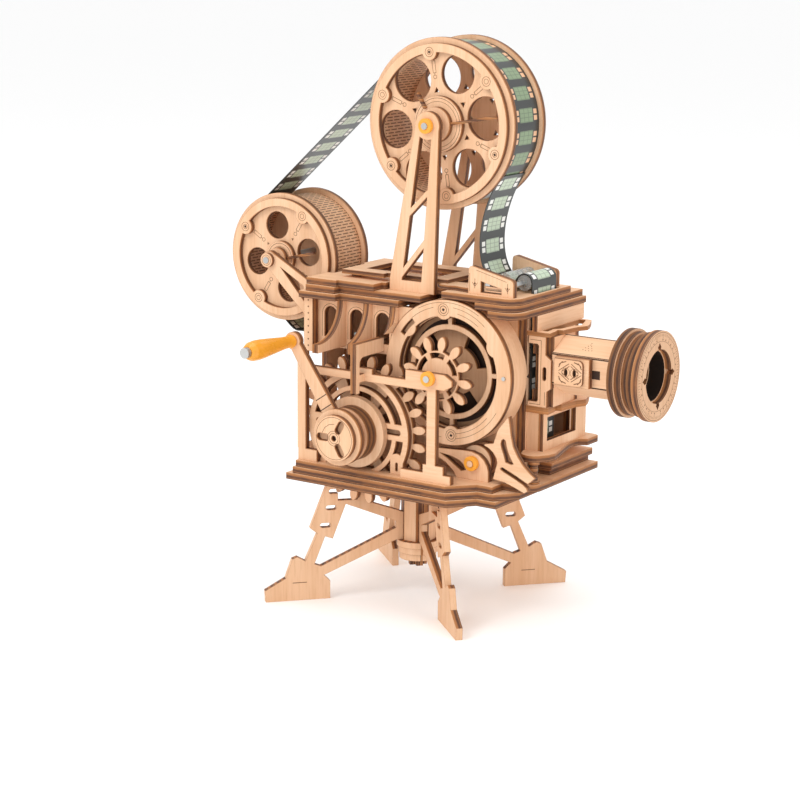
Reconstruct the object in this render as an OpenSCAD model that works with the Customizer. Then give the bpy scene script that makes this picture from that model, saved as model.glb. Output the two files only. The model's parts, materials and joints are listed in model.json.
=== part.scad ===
// Hand-cranked film projector model in laser-cut plywood: four-legged stand,
// stepped base, arcaded body, gear train, two film reels and a lens.
// Origin on the floor at the axis of the stand's column. +X points out of
// the lens, -Y is the crank side, +Z is up.

/* [Plywood and fits] */
// Thickness of the plywood sheet
ply = 3; // [2.6:0.1:3.2]
// Thickness of the thinner sheet used for the reels
reel_ply = 2.5; // [2:0.1:2.8]
// Radius of the steel rods that the wheels turn on
rod_r = 1.5; // [1.2:0.1:1.8]
// Radius of the crank's rod
crank_rod_r = 2; // [1.6:0.1:2.4]
// Radial clearance of a rod in the hole that it turns in
run_gap = 0.05; // [0.02:0.01:0.1]
// Side clearance between a turning plate and a fixed one
side_gap = 0.3; // [0.2:0.05:0.4]
// Radius of the orange end caps
cap_r = 3.3; // [2.8:0.1:3.6]

/* [Stand] */
// Height of the stand, from the floor to the underside of the base
stand_h = 54.5; // [50:0.5:60]
// Distance from the column's axis to the tip of a foot
leg_reach = 72; // [66:0.5:78]
// Turn of the stand from the square
stand_turn = 3; // [-4:0.5:6]
// Width of the stand's octagonal column across its flats
column_w = 14.8; // [12:0.2:17]
// Height of the underside of the rings round the column's foot
column_low = 17; // [15:0.5:20]
// Radius of the widest ring round the column's foot
column_ring_r = 10; // [9.5:0.1:12]

/* [Base] */
// Left end of the upper base plate
base_left = 44.3; // [44.3:0.1:48]
// Right end of the upper base plate
base_right = 68.9; // [67:0.1:72]
// Front edge of the upper base plate
base_front = 34.9; // [34:0.1:38]
// Back edge of the base, and outer face of the back wall
base_back = 44.3; // [42:0.1:48]
// Amount by which each lower plate stands out past the one above
base_lip = 2; // [1:0.25:3]
// Right end of the lower base plate
lower_right = 57.1; // [55:0.1:60]
// Front edge of the base's right-hand shelf
shelf_front = 15.35; // [14:0.05:15.35]
// Radius of the shelf's rounded corner
shelf_round = 8; // [5:0.5:10]

/* [Body] */
// Height of the body's walls
wall_h = 73.5; // [73:0.1:78]
// Left face of the body
body_left = 44.2; // [43:0.1:44.3]
// Right face of the body
body_right = 56.9; // [55:0.1:57]
// Front face of the arcade wall
arcade_y = 17.7; // [17:0.1:19]
// Front face of the inner wall that carries the wheels
inner_y = 4.5; // [4:0.1:5.5]
// Height of the arcade wall's lower edge above the base
arcade_low = 50.8; // [50.5:0.1:53]
// Pitch of the arcade's arches
arch_pitch = 14.25; // [13:0.25:15]
// Width of one arch
arch_w = 7.1; // [5:0.1:8.5]
// Height of one arch
arch_h = 14.2; // [11:0.2:15]
// Depth of a rib at its foot
rib_reach = 15.5; // [10:0.5:16]
// Depth of a rib at its neck
rib_neck = 2.8; // [2.4:0.1:4.5]

/* [Deck] */
// Overhang of the lower deck past the body's left face
deck_over = 5.5; // [3:0.25:6.5]
// Front edge of the lower deck at its left end
deck_front = 25.1; // [24.5:0.1:28]
// Front edge of the upper deck at its right end
deck_shelf = 14.5; // [13.2:0.1:15]
// Right end of the deck
deck_right = 60.5; // [60:0.1:63]
// Back edge of the upper deck
deck_back = 40; // [38:0.5:43]

/* [Shutter housing] */
// Shutter axis, right of the column's axis
shutter_x = 26.4; // [26:0.1:27]
// Height of the shutter's axis above the base
shutter_h = 46.6; // [46:0.1:47]
// Outer radius of the housing
ring_r = 32.5; // [31.5:0.1:33]
// Width of the housing's front ring
ring_w = 7.1; // [6:0.1:7.6]
// Depth of the housing's drum
rim_depth = 10.85; // [10:0.05:12]
// Wall of the housing's drum
rim_wall = 2.9; // [2.4:0.1:3.4]
// Distance from the housing's outer face in to the shutter disc's edge
shutter_in = 6.5; // [4.5:0.1:8]

/* [Gears and crank] */
// Crank axis, left of the column's axis
crank_x = 13.3; // [13:0.1:13.6]
// Height of the crank's axis above the base
crank_h = 17.1; // [16.8:0.1:17.4]
// Front face of the gears
gear_y = 26.6; // [26:0.1:27.2]
// Teeth on the large gear
teeth_large = 24; // [20:2:24]
// Teeth on the small gear
teeth_small = 12; // [10:1:12]
// Height of a tooth outside the pitch circle
tooth_out = 1.2; // [0.9:0.05:1.4]
// Depth of a tooth inside the pitch circle
tooth_in = 4.6; // [3.6:0.1:5.4]
// Width of a large gear's tooth
tooth_w_large = 3.8; // [3:0.1:4]
// Width of a small gear's tooth
tooth_w_small = 3.6; // [3:0.1:3.8]
// Radius of the crank's rear flange
flange_r = 16.2; // [15:0.1:17]
// Radius of the crank's drum
drum_r = 12.3; // [11:0.1:13]
// Length of the crank's drum
drum_l = 6.9; // [6:0.1:8]
// Radius of the crank's front disc
face_r = 10.4; // [9.5:0.1:11.5]
// Length of the crank arm from shaft to handle
crank_len = 48.1; // [44:0.5:52]
// Angle of the crank arm above the left-hand horizontal
crank_angle = 56.3; // [45:0.5:70]
// Length of the handle's grip
grip_l = 32.4; // [26:0.5:36]
// Largest radius of the handle's grip
grip_r = 4.5; // [3.6:0.1:5.2]

/* [Reels] */
// Upper reel axis, right of the column's axis
upper_x = 10.8; // [9.5:0.1:12]
// Upper reel axis above the deck
upper_h = 71.2; // [69:0.2:76]
// Upper reel's flange radius
upper_r = 37.8; // [37:0.1:39]
// Lower reel axis, left of the column's axis
lower_x = 75.8; // [75:0.1:78]
// Lower reel axis above the deck
lower_h = 4; // [3:0.1:6]
// Lower reel's flange radius
lower_r = 29.9; // [28.5:0.1:30.3]
// Lower reel's drum radius
lower_drum_r = 27.6; // [26:0.1:28]
// Radius of the film wound on the upper reel
wound_r = 36; // [35:0.1:36.4]
// Middle plane of the film and of the lens
film_y = 11.45; // [11:0.05:12]
// Clear width between a reel's flanges
reel_gap = 21.7; // [21.5:0.1:22.5]
// Width of the film
film_w = 20.9; // [18:0.1:21]
// Thickness of the film
film_t = 0.4; // [0.3:0.05:0.5]

/* [Film guide] */
// Left end of the guide's side plates
guide_left = 34; // [33:0.25:35]
// Length of the guide's side plates
guide_l = 23.8; // [23:0.2:25]
// Height of the guide's side plates
guide_h = 12.2; // [11.5:0.1:14]
// Radius of the clear roller
roller_r = 3.5; // [3:0.1:3.6]
// Radius of the roller that carries the film
film_roller_r = 3.5; // [3:0.1:3.6]

/* [Gate and lens] */
// Height of the lens axis above the base
lens_h = 51; // [50:0.1:52]
// Right end of the gate's side plates
gate_right = 68.9; // [68.3:0.1:72]
// Radius over the corners of the hexagonal barrel
barrel_r = 13.4; // [12.6:0.1:14]
// Length of the hexagonal barrel
barrel_l = 31.1; // [29:0.1:36]
// Outer radius of the lens ring
lens_ring_r = 19.9; // [18.5:0.1:21]
// Radius of the lens opening
lens_bore_r = 10.9; // [10:0.1:11.6]
// Length of the focus slider
slider_l = 16.8; // [15:0.2:18]
// Height of the focus slider
slider_h = 12.8; // [11:0.2:13]
// Travel of the focus slider
focus_travel = 5; // [3:0.5:6]

/* [Hidden] */
$fn = 96;
// Overrun of every cut
over = 1;
// Turns
half_turn = 180;
quarter_turn = 90;

// Heights of the sheets, from the floor up
base_mid_z = stand_h + ply;
base_up_z = base_mid_z + ply;
base_z = base_up_z + ply;
deck_z = base_z + wall_h;
deck_mid_z = deck_z + ply;
deck_up_z = deck_mid_z + ply;
deck_top = deck_up_z + ply;

// Planes of the mechanism, from the inner wall towards the crank side
rim_front = -inner_y - rim_depth;
housing_front = rim_front - ply;
gear_back = -gear_y + ply;
guard_y = -gear_y - side_gap - ply;
bridge_y = guard_y - ply;
flange_y = guard_y - side_gap - ply;
drum_y = flange_y - drum_l;
arm_y = drum_y - ply;
disc_y = arm_y - ply;
face_y = disc_y - reel_ply;
inner_back = -inner_y + ply;

// Radii that follow the shutter housing
ring_bore_r = ring_r - ring_w;
shutter_r = ring_r - shutter_in;

// Axes
ax = shutter_x;
az = base_z + shutter_h;
cx = -crank_x;
cz = base_z + crank_h;
axis_gap = sqrt(pow(ax - cx, 2) + pow(az - cz, 2));
pitch_r_large = axis_gap * teeth_large / (teeth_large + teeth_small);
pitch_r_small = axis_gap - pitch_r_large;
mesh_angle = atan2(az - cz, ax - cx);
px = cx - crank_len * cos(crank_angle);
pz = cz + crank_len * sin(crank_angle);
ux = upper_x;
uz = deck_top + upper_h;
lx = -lower_x;
lz = deck_top + lower_h;
lens_z = base_z + lens_h;

// Reels, front to back
gap_front = film_y - reel_gap / 2;
gap_back = film_y + reel_gap / 2;
film_front = film_y - film_w / 2;
// Set-back of the reel supports from the reels' outer faces
support_gap = 5.5;
support_front_y = gap_front - reel_ply - reel_ply - support_gap - ply;
support_back_y = gap_back + reel_ply + reel_ply + support_gap - ply;

// Plate standing square to Y: drawn in X and Z, front face at y
module facing(y, t = ply) {
  translate([0, y + t, 0]) rotate([quarter_turn, 0, 0]) linear_extrude(t) children();
}
// Plate standing square to X: drawn in Y and Z, left face at x
module sideways(x, t = ply) {
  translate([x, 0, 0]) rotate([quarter_turn, 0, quarter_turn]) linear_extrude(t) children();
}
// Plate lying flat: drawn in X and Y, underside at z
module lying(z, t = ply) {
  translate([0, 0, z]) linear_extrude(t) children();
}
module at(x, y) {
  translate([x, y]) children();
}
// Rectangle between two corners
module box2(x0, y0, x1, y1) {
  translate([x0, y0]) square([x1 - x0, y1 - y0]);
}
// Ring
module ring(ro, ri) {
  difference() {
    circle(ro);
    circle(ri);
  }
}
// Slot of length l over its round ends and width w, along x
module slot(l, w) {
  translate([-(l - w) / 2, -w / 2]) square([l - w, w]);
  for (s = [-1, 1]) translate([s * (l - w) / 2, 0]) circle(w / 2);
}
// Sector between two angles, cut to a ring
module arc_slot(ro, ri, a0, a1) {
  intersection() {
    ring(ro, ri);
    polygon(concat([[0, 0]], [
      for (a = [a0 : (a1 - a0) / 6 : a1]) [2 * ro * cos(a), 2 * ro * sin(a)]
    ]));
  }
}
// Strip of width w between two points, with round ends
module strip(p, q, w) {
  l = norm(q - p);
  translate(p) rotate(atan2(q[1] - p[1], q[0] - p[0])) {
    translate([0, -w / 2]) square([l, w]);
    circle(w / 2);
    translate([l, 0]) circle(w / 2);
  }
}
// Arch with a round head, foot centred on the origin
module arch(w, h) {
  translate([-w / 2, 0]) square([w, h - w / 2]);
  translate([0, h - w / 2]) circle(w / 2);
}
// Points of a table of shares of two sizes, from a corner
function shaped(shares, w, h, x = 0, y = 0) =
  [for (p = shares) [x + p[0] * w, y + p[1] * h]];

// --- Stand -------------------------------------------------------------
leg_shares = [
  [0.58, 0], [0.995, 0], [1, 0.1], [0.868, 0.198], [0.825, 0.361],
  [0.792, 0.378], [0.74, 0.339], [0.664, 0.572], [0.71, 0.62], [0.599, 1],
  [0.531, 1], [0.531, 0.848], [0.403, 0.848], [0.403, 1], [0.333, 1],
  [0.333, 0.826], [0.3, 0.809], [0.15, 0.74]
];
leg_return_shares = [[0.15, 0.477], [0.621, 0.207], [0.58, 0.154]];
leg_window_shares = [
  [0.151, 0.642], [0.48, 0.815], [0.564, 0.521], [0.614, 0.543],
  [0.683, 0.308], [0.64, 0.286], [0.151, 0.583]
];
leg_slot_shares = [[0.555, 0.93], [0.575, 0.79], [0.612, 0.64]];
leg_slot_l = 5;
leg_slot_w = 2.2;
column_foot = column_low + 3 * ply;
module leg() {
  difference() {
    polygon(concat(
      shaped(leg_shares, leg_reach, stand_h),
      [[column_w / 2, 0.716 * stand_h], [column_w / 2, column_foot]],
      [[leg_return_shares[0][0] * leg_reach, column_foot]],
      [for (i = [1, 2]) [leg_return_shares[i][0] * leg_reach, leg_return_shares[i][1] * stand_h]]
    ));
    polygon(shaped(leg_window_shares, leg_reach, stand_h));
    for (p = leg_slot_shares) at(p[0] * leg_reach, p[1] * stand_h) slot(leg_slot_l, leg_slot_w);
  }
}
module legs(first) {
  for (a = [first, first + quarter_turn])
    rotate(a + quarter_turn / 2 + stand_turn)
      translate([0, ply / 2, 0]) rotate([quarter_turn, 0, 0]) linear_extrude(ply) leg();
}
module legs_left() {
  color("burlywood") legs(quarter_turn);
}
module legs_right() {
  color("burlywood") legs(-quarter_turn);
}
column_ring_step = 0.7;
column_tenon_w = 8;
column_tenon_h = 3.5;
module stand_hub() {
  color("peru") {
    translate([0, 0, column_foot])
      rotate(stand_turn + quarter_turn / 4)
        cylinder(r = column_w / 2 / cos(quarter_turn / 4), h = stand_h - column_foot, $fn = 8);
    for (i = [0 : 2])
      translate([0, 0, column_low + i * ply])
        cylinder(r = column_ring_r - (2 - i) * column_ring_step, h = ply);
    for (a = [0, quarter_turn])
      rotate(a + quarter_turn / 2 + stand_turn)
        translate([-column_tenon_w / 2, -ply / 2, column_low - column_tenon_h])
          cube([column_tenon_w, ply, column_tenon_h]);
  }
}

// --- Base --------------------------------------------------------------
// Slots that the large gear dips into
slot_y0 = -gear_y - side_gap;
slot_y1 = gear_back + side_gap;
slot_z_share = 0.93;
function dip(z) = sqrt(max(0, pow(gear_tip_large + side_gap, 2) - pow(cz - z, 2)));
gear_tip_large = pitch_r_large + tooth_out;
module gear_slot(z) {
  box2(cx - dip(z), slot_y0, cx + dip(z), slot_y1);
}
base_corner = 9.9;
base_corner_y = 10.8;
shelf_left = 54.1;
module base_upper() {
  color("tan") lying(base_up_z) difference() {
    union() {
      polygon([
        [-base_left, -base_front],
        [shelf_left - base_corner - base_corner_in, -base_front],
        [shelf_left - base_corner_in, -base_front + base_corner_y],
        [shelf_left, -base_front + base_corner_y],
        [shelf_left, -shelf_front],
        [base_right - shelf_round, -shelf_front],
        [base_right, -shelf_front + shelf_round],
        [base_right, base_back],
        [-base_left, base_back]
      ]);
      at(base_right - shelf_round, -shelf_front + shelf_round) circle(shelf_round);
    }
    gear_slot(base_z);
  }
}
base_corner_in = 7.8;
module base_middle() {
  color("tan") lying(base_mid_z) difference() {
    polygon([
      [-base_left - base_lip / 2, -base_front - base_lip / 2],
      [shelf_left - base_corner - base_corner_in + base_lip / 2, -base_front - base_lip / 2],
      [shelf_left - base_corner_in + base_lip / 2, -base_front + base_corner_y - base_lip / 2],
      [shelf_left + base_lip / 2, -base_front + base_corner_y - base_lip / 2],
      [(lower_right + base_right) / 2, -shelf_front],
      [(lower_right + base_right) / 2, base_back],
      [-base_left - base_lip / 2, base_back]
    ]);
    gear_slot(base_up_z);
  }
}
module base_lower() {
  color("tan") lying(stand_h) difference() {
    polygon([
      [-base_left - base_lip - base_lip, -base_front - base_lip],
      [shelf_left - base_corner - base_corner_in + base_lip, -base_front - base_lip],
      [shelf_left - base_corner_in + base_lip / 2, -base_front + base_corner_y - base_lip],
      [lower_right, -base_front + base_corner_y - base_lip],
      [lower_right, base_back],
      [-base_left - base_lip - base_lip, base_back]
    ]);
    gear_slot(base_mid_z);
  }
}
step_front = 9;
step_inset = 3;
module base_step() {
  color("tan") {
    lying(base_z) box2(body_right, step_front, base_right - step_inset - base_lip, base_back);
    lying(base_z + ply) box2(body_right, step_front - base_lip, base_right - step_inset, base_back);
  }
}

// --- Body --------------------------------------------------------------
film_slot_z = 50.5;
film_slot_h = 2.4;
window_w = 14;
window_h = 30;
module wall_left() {
  color("wheat") sideways(-body_left) difference() {
    box2(-arcade_y + ply, base_z, base_back - ply, deck_z);
    box2(gap_front, base_z + film_slot_z, gap_back, base_z + film_slot_z + film_slot_h);
    for (s = [-1, 1]) at(film_y + s * window_w * 0.8, base_z + arch_h) arch(window_w, window_h);
  }
}
// Row of arches and diamond studs in a wall's upper band
diamond_r = 0.9;
module arcade_cuts(n) {
  for (i = [0 : n - 1])
    at(-body_left + arch_pitch / 2 + i * arch_pitch, deck_z - arch_h - arch_head) arch(arch_w, arch_h);
}
arch_head = 4;
arcade_left = 3;
module wall_arcade() {
  color("wheat") {
    facing(-arcade_y) difference() {
      box2(-body_left - arcade_left, base_z + arcade_low, ax, deck_z);
      arcade_cuts(3);
      at(ax, az) circle(ring_r + side_gap);
      for (z = [0.3, 0.7])
        at(-body_left - arcade_left / 2 + diamond_r / 2, deck_z - (1 - z) * (deck_z - base_z - arcade_low))
          circle(diamond_r, $fn = 4);
    }
    facing(-arcade_y - pilaster_d, pilaster_d)
      box2(-body_left - pilaster_out, base_z + arcade_low - pilaster_drop, -body_left, deck_z);
  }
}
pilaster_d = 4.3;
pilaster_out = 4.8;
pilaster_drop = 2.3;
inner_left_top = 39.5;
inner_step_x = 0;
module wall_front() {
  color("wheat") facing(-inner_y) difference() {
    union() {
      box2(-body_left + ply, base_z, inner_step_x, base_z + inner_left_top);
      box2(inner_step_x, base_z, body_right - ply, deck_z);
    }
    at(cx, cz) circle(crank_rod_r + run_gap);
    at(ax, az) circle(rod_r + run_gap);
    at(idler_x, idler_z) circle(rod_r + run_gap);
    for (a = [45 : quarter_turn : 359])
      at(ax + inner_window_r * cos(a), az + inner_window_r * sin(a)) circle(inner_hole_r);
    at(cx, cz) for (s = [-1, 1]) at(s * window_w, 0) arch(window_w / 2, window_w);
  }
}
inner_window_r = 16;
inner_hole_r = 5;
gate_open_low = 32.5;
gate_open_high = 64.5;
side_window_low = 13.5;
side_window_high = 30.5;
module wall_right() {
  color("wheat") sideways(body_right - ply) difference() {
    box2(-inner_y + ply, base_z, base_back - ply, deck_z);
    box2(gap_front, base_z + gate_open_low, gap_back - ply, base_z + gate_open_high);
    box2(film_y + ply, base_z + side_window_low, base_back - 2 * ply, base_z + side_window_high);
  }
}
module wall_back() {
  color("wheat") facing(base_back - ply) difference() {
    box2(-body_left, base_z, body_right, deck_z);
    arcade_cuts(6);
    for (i = [0 : 2])
      at(-body_left + (i + 0.5) * (body_left + body_right) / 3, base_z + arch_h) arch(window_w, window_h);
  }
}
module wall_ribs() {
  color("wheat") difference() {
    for (i = [0 : 2])
      sideways(-body_left + (i + 1) * arch_pitch - ply / 2) difference() {
        box2(rib_tips[i], rib_low, -arcade_y, deck_z);
        at(-arcade_y - rib_neck - rib_cove, deck_z) circle(rib_cove);
        box2(rib_tips[i] - over, deck_z - rib_cove, -arcade_y - rib_neck - rib_cove, deck_z + over);
      }
    housing_room();
  }
}
rib_cove = 17.5;
rib_clear = 0.9;
rib_low = cz + gear_tip_large + rib_clear;
rib_tips = [drum_y + side_gap, -arcade_y - rib_reach, -arcade_y - rib_reach];
bracket_x = 10.8;
bracket_arm_h = 6.3;
bracket_leg_w = 2.8;
bracket_drop = 16;
bracket_round = 3.2;
bracket_tip = drum_y + 2 * side_gap;
module crank_bracket() {
  color("wheat") sideways(-bracket_x) {
    box2(bracket_tip, rib_low, -arcade_y, rib_low + bracket_arm_h);
    box2(bracket_tip, rib_low - bracket_drop, bracket_tip + bracket_leg_w, rib_low + bracket_arm_h);
    box2(bracket_tip + bracket_leg_w, bar_low, bridge_y, bar_low + bar_h);
    difference() {
      box2(
        bracket_tip + bracket_leg_w, rib_low - bracket_round,
        bracket_tip + bracket_leg_w + bracket_round, rib_low
      );
      at(bracket_tip + bracket_leg_w + bracket_round, rib_low - bracket_round) circle(bracket_round);
    }
  }
}

// --- Deck --------------------------------------------------------------
deck_notch_r = ring_r + side_gap;
deck_step1 = 29.5;
deck_step2 = 9;
deck_frame_y = 24;
deck_mid_y = 21.2;
film_hole_x = 57.15;
film_hole_w = 1.85;
module deck_cut(z) {
  difference() {
    children();
    translate([0, 0, 0]) box2(film_hole_x - side_gap / 2, gap_front, film_hole_x + film_hole_w, gap_back);
  }
}
// Room for the shutter housing under the deck
module housing_room() {
  translate([ax, -inner_y, az]) rotate([quarter_turn, 0, 0])
    cylinder(r = deck_notch_r, h = deck_front + rib_reach);
}
// Room for the lower reel's flanges at the deck's left edge
module reel_room() {
  translate([lx, gap_back + 2 * reel_ply + side_gap, lz]) rotate([quarter_turn, 0, 0])
    cylinder(r = lower_r + side_gap, h = reel_gap + 4 * reel_ply + 2 * side_gap);
}
module deck_lower() {
  color("tan") difference() {
    lying(deck_z) deck_cut() union() {
      polygon([
        [-body_left - deck_over, -deck_front], [-deck_step1, -deck_front],
        [-deck_step1, -deck_mid_y], [-deck_step2, -deck_mid_y],
        [-deck_step2, -deck_frame_y], [ux + deck_step2, -deck_frame_y],
        [ux + deck_step2, -deck_mid_y], [ax + deck_step2, -deck_mid_y],
        [ax + deck_step2, -deck_shelf], [deck_right + deck_lip - deck_round, -deck_shelf],
        [deck_right + deck_lip, -deck_shelf + deck_round], [deck_right + deck_lip, deck_back + deck_lip],
        [-body_left - deck_over, deck_back + deck_lip]
      ]);
      at(deck_right + deck_lip - deck_round, -deck_shelf + deck_round) circle(deck_round);
    }
    housing_room();
    reel_room();
  }
}
deck_lip = 1.5;
deck_round = 6;
module deck_middle() {
  color("tan") difference() {
    lying(deck_mid_z) deck_cut() polygon([
      [-body_left - deck_over / 2, -deck_front + deck_lip], [-deck_step1 - deck_lip, -deck_front + deck_lip],
      [-deck_step1 - deck_lip, -deck_mid_y + deck_lip], [-deck_step2 + deck_lip, -deck_mid_y + deck_lip],
      [ux + deck_step2, -deck_mid_y + deck_lip], [ax + deck_step2, -deck_mid_y + deck_lip],
      [ax + deck_step2, -deck_shelf + deck_lip / 2], [deck_right - deck_round, -deck_shelf + deck_lip / 2],
      [deck_right, -deck_shelf + deck_round], [deck_right, deck_back + deck_lip / 2],
      [-body_left - deck_over / 2, deck_back + deck_lip / 2]
    ]);
    housing_room();
    reel_room();
  }
}
frame_foot_l = 11.8;
frame_room_y = 9.7;
module deck_upper() {
  color("tan") difference() {
    lying(deck_up_z) deck_cut() polygon([
      [-body_left, -deck_front + 2 * deck_lip], [-deck_step1 - deck_lip, -deck_front + 2 * deck_lip],
      [-deck_step1 - deck_lip, -frame_room_y - deck_lip],
      [ux - deck_step2 - frame_foot_l, -frame_room_y - deck_lip],
      [ux - deck_step2 - frame_foot_l, support_front_y + ply], [ux + frame_foot_l, support_front_y + ply],
      [ux + frame_foot_l, -deck_shelf + deck_lip], [deck_right - deck_round, -deck_shelf + deck_lip],
      [deck_right, -deck_shelf + deck_round], [deck_right, support_back_y],
      [-body_left, support_back_y]
    ]);
    housing_room();
  }
}

// --- Mechanism frame ----------------------------------------------------
post_x = 44.7;
post_w = 4.5;
post_foot_w = 10.3;
foot_h = 5.5;
post_h = 50.5;
module corner_frame() {
  color("wheat") facing(bridge_y) {
    box2(-post_x, base_z + foot_h, -post_x + post_w, base_z + post_h);
    box2(-base_left, base_z, -base_left + post_foot_w, base_z + foot_h);
  }
}
bar_drop = 5.6;
bar_low = az - bar_drop;
bar_h = 3.5;
hub_left = 12.4;
hub_right = 7.6;
hub_slant = 4;
hub_up = 2.4;
hub_down = 4.6;
post2_left = 1.1;
post2_right = 3.5;
block_half = 5.25;
block_h = 3.8;
plinth_left = 14.8;
plinth_right = 11.4;
plinth_h = 4;
bar_pad_l = 7;
module bridge() {
  color("wheat") facing(bridge_y) difference() {
    union() {
      box2(-post_x + post_w, bar_low, ax, bar_low + bar_h);
      box2(-bracket_x, bar_low, -bracket_x + bar_pad_l, bar_low + bar_h + hub_up);
      polygon([
        [ax - hub_left, az - hub_down], [ax + hub_right, az - hub_down],
        [ax + hub_right + hub_slant, az - hub_up], [ax + hub_right + hub_slant, az],
        [ax + hub_right, az + hub_up], [ax - hub_left, az + hub_up]
      ]);
      box2(ax - post2_left, base_z, ax + post2_right, az - over);
      box2(
        ax + post2_right - post2_left - block_half, base_z,
        ax + post2_right - post2_left + block_half, base_z + plinth_h + block_h
      );
      box2(ax - plinth_left, base_z, ax + plinth_right, base_z + plinth_h);
    }
    at(ax, az) circle(rod_r + run_gap);
  }
}
guard_ro = 27;
guard_ri = 24.3;
guard2_ro = 20.6;
guard2_ri = 18.4;
guard_hub_r = 8;
guard_band_h = 7.5;
guard_band_slot = 2.6;
guard_foot_x = 17.6;
guard_foot_w = 6.8;
guard_foot_h = 9.5;
module gear_guard() {
  color("burlywood") facing(guard_y) difference() {
    intersection() {
      at(cx, cz) {
        ring(guard_ro, guard_ri);
        ring(guard2_ro, guard2_ri);
        circle(guard_hub_r);
        box2(-guard_ri - over, -guard_band_h / 4, guard_ri + over, guard_band_h * 0.75);
        for (s = [-1, 1]) at(s * (guard_foot_x + guard_foot_w / 2), base_z - cz) arch(guard_foot_w, guard_foot_h);
      }
      box2(cx - 2 * guard_ro, base_z, cx + 2 * guard_ro, cz + 2 * guard_ro);
    }
    at(cx, cz) circle(crank_rod_r + run_gap);
    for (s = [-1, 1]) {
      at(cx + s * (guard_hub_r + guard_ri) / 2, cz + guard_band_h / 4)
        slot(guard_ri - guard_hub_r - guard_band_slot, guard_band_slot);
      at(cx + s * (guard_foot_x + guard_foot_w / 2), base_z + guard_foot_w / 2)
        rotate(quarter_turn) slot(guard_foot_w * 0.6, guard_band_slot / 2);
    }
  }
}

// --- Shutter housing ----------------------------------------------------
boss_r = 4.4;
boss_angles = [95, -85, 139, 188, 30];
boss_place_r = ring_r - boss_r;
crescent_angle = 139;
crescent_half = 9;
crescent_w = 2.4;
// Outline of the front ring
module ring_outline() {
  at(ax, az) circle(ring_r);
}
module ring_front() {
  color("wheat") facing(housing_front) difference() {
    ring_outline();
    at(ax, az) difference() {
      circle(ring_bore_r);
      for (a = boss_angles) at(boss_place_r * cos(a), boss_place_r * sin(a)) circle(boss_r);
    }
    at(ax, az) arc_slot(
      boss_place_r + crescent_w / 2, boss_place_r - crescent_w / 2,
      crescent_angle - crescent_half, crescent_angle + crescent_half
    );
  }
}
module ring_rim() {
  color("tan") translate([ax, -inner_y, az]) rotate([quarter_turn, 0, 0]) difference() {
    cylinder(r = ring_r, h = rim_depth);
    translate([0, 0, -over]) cylinder(r = ring_r - rim_wall, h = rim_depth + 2 * over);
  }
}
spoke_ring_in = 3.2;
spoke_ring_w = 2.9;
spoke_ring_ro = ring_bore_r - spoke_ring_in;
spoke_ring_ri = spoke_ring_ro - spoke_ring_w;
spoke_turn = 2;
spoke_w = 4.2;
module ring_spokes() {
  color("wheat") facing(rim_front) at(ax, az) {
    ring(ring_r - rim_wall, ring_bore_r - rim_wall / 2);
    ring(spoke_ring_ro, spoke_ring_ri);
    for (a = [spoke_turn : quarter_turn : 359])
      rotate(a) box2(spoke_ring_ri + over, -spoke_w / 2, ring_bore_r, spoke_w / 2);
  }
}
shutter_back = -inner_y - side_gap;
shutter_hub_r = 6;
shutter_open = [10, 70];
shutter_cut_ro_share = 0.86;
shutter_cut_ri_share = 0.42;
module shutter() {
  color("tan") {
    facing(shutter_back - ply - shutter_space) difference() {
      at(ax, az) circle(shutter_r);
      at(ax, az) for (a = [0, 120, 240])
        arc_slot(shutter_r * shutter_cut_ro_share, shutter_r * shutter_cut_ri_share, a + shutter_open[0], a + shutter_open[1]);
      at(ax, az) circle(rod_r);
    }
    facing(shutter_back - shutter_space, shutter_space) at(ax, az) ring(shutter_hub_r, rod_r);
    facing(gear_back, shutter_back - shutter_space - ply - gear_back) at(ax, az) ring(shutter_hub_r / 2, rod_r);
  }
}
shutter_space = 3;

// --- Gears --------------------------------------------------------------
tooth_root_share = 0.62;
// Plywood gear: long round-ended teeth on a disc
module gear2d(n, pitch_r, w, turn) {
  circle(pitch_r - tooth_in);
  for (i = [0 : n - 1])
    rotate(turn + i * 360 / n) {
      polygon([
        [pitch_r - tooth_in - over, -w * tooth_root_share / 2], [pitch_r + tooth_out - w / 2, -w / 2],
        [pitch_r + tooth_out - w / 2, w / 2], [pitch_r - tooth_in - over, w * tooth_root_share / 2]
      ]);
      at(pitch_r + tooth_out - w / 2, 0) circle(w / 2);
    }
}
small_hub_r = 8;
small_rim_r = 10.4;
small_spoke_half = 8;
module gear_small() {
  color("tan") facing(-gear_y) at(ax, az) difference() {
    gear2d(teeth_small, pitch_r_small, tooth_w_small, mesh_angle + half_turn + half_turn / teeth_small);
    for (a = [30 : 60 : 359])
      arc_slot(small_rim_r, small_hub_r, a - 30 + small_spoke_half, a + 30 - small_spoke_half);
    circle(rod_r);
  }
}
large_window_ro = 24.5;
large_window_ri = 10;
large_spoke_half = 8;
module gear_large() {
  color("tan") facing(-gear_y) at(cx, cz) difference() {
    gear2d(teeth_large, pitch_r_large, tooth_w_large, mesh_angle);
    for (a = [0 : 60 : 359])
      arc_slot(large_window_ro, large_window_ri, a + large_spoke_half, a + 60 - large_spoke_half);
    circle(crank_rod_r);
  }
}
rod_out = 1.2;
module shutter_shaft() {
  color("silver") translate([ax, inner_back + rod_out, az]) rotate([quarter_turn, 0, 0])
    cylinder(r = rod_r, h = inner_back + rod_out - cap_face(bridge_y) + rod_out / 2);
}
cap_t = 1.8;
function cap_face(y) = y - side_gap - cap_t;
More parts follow.
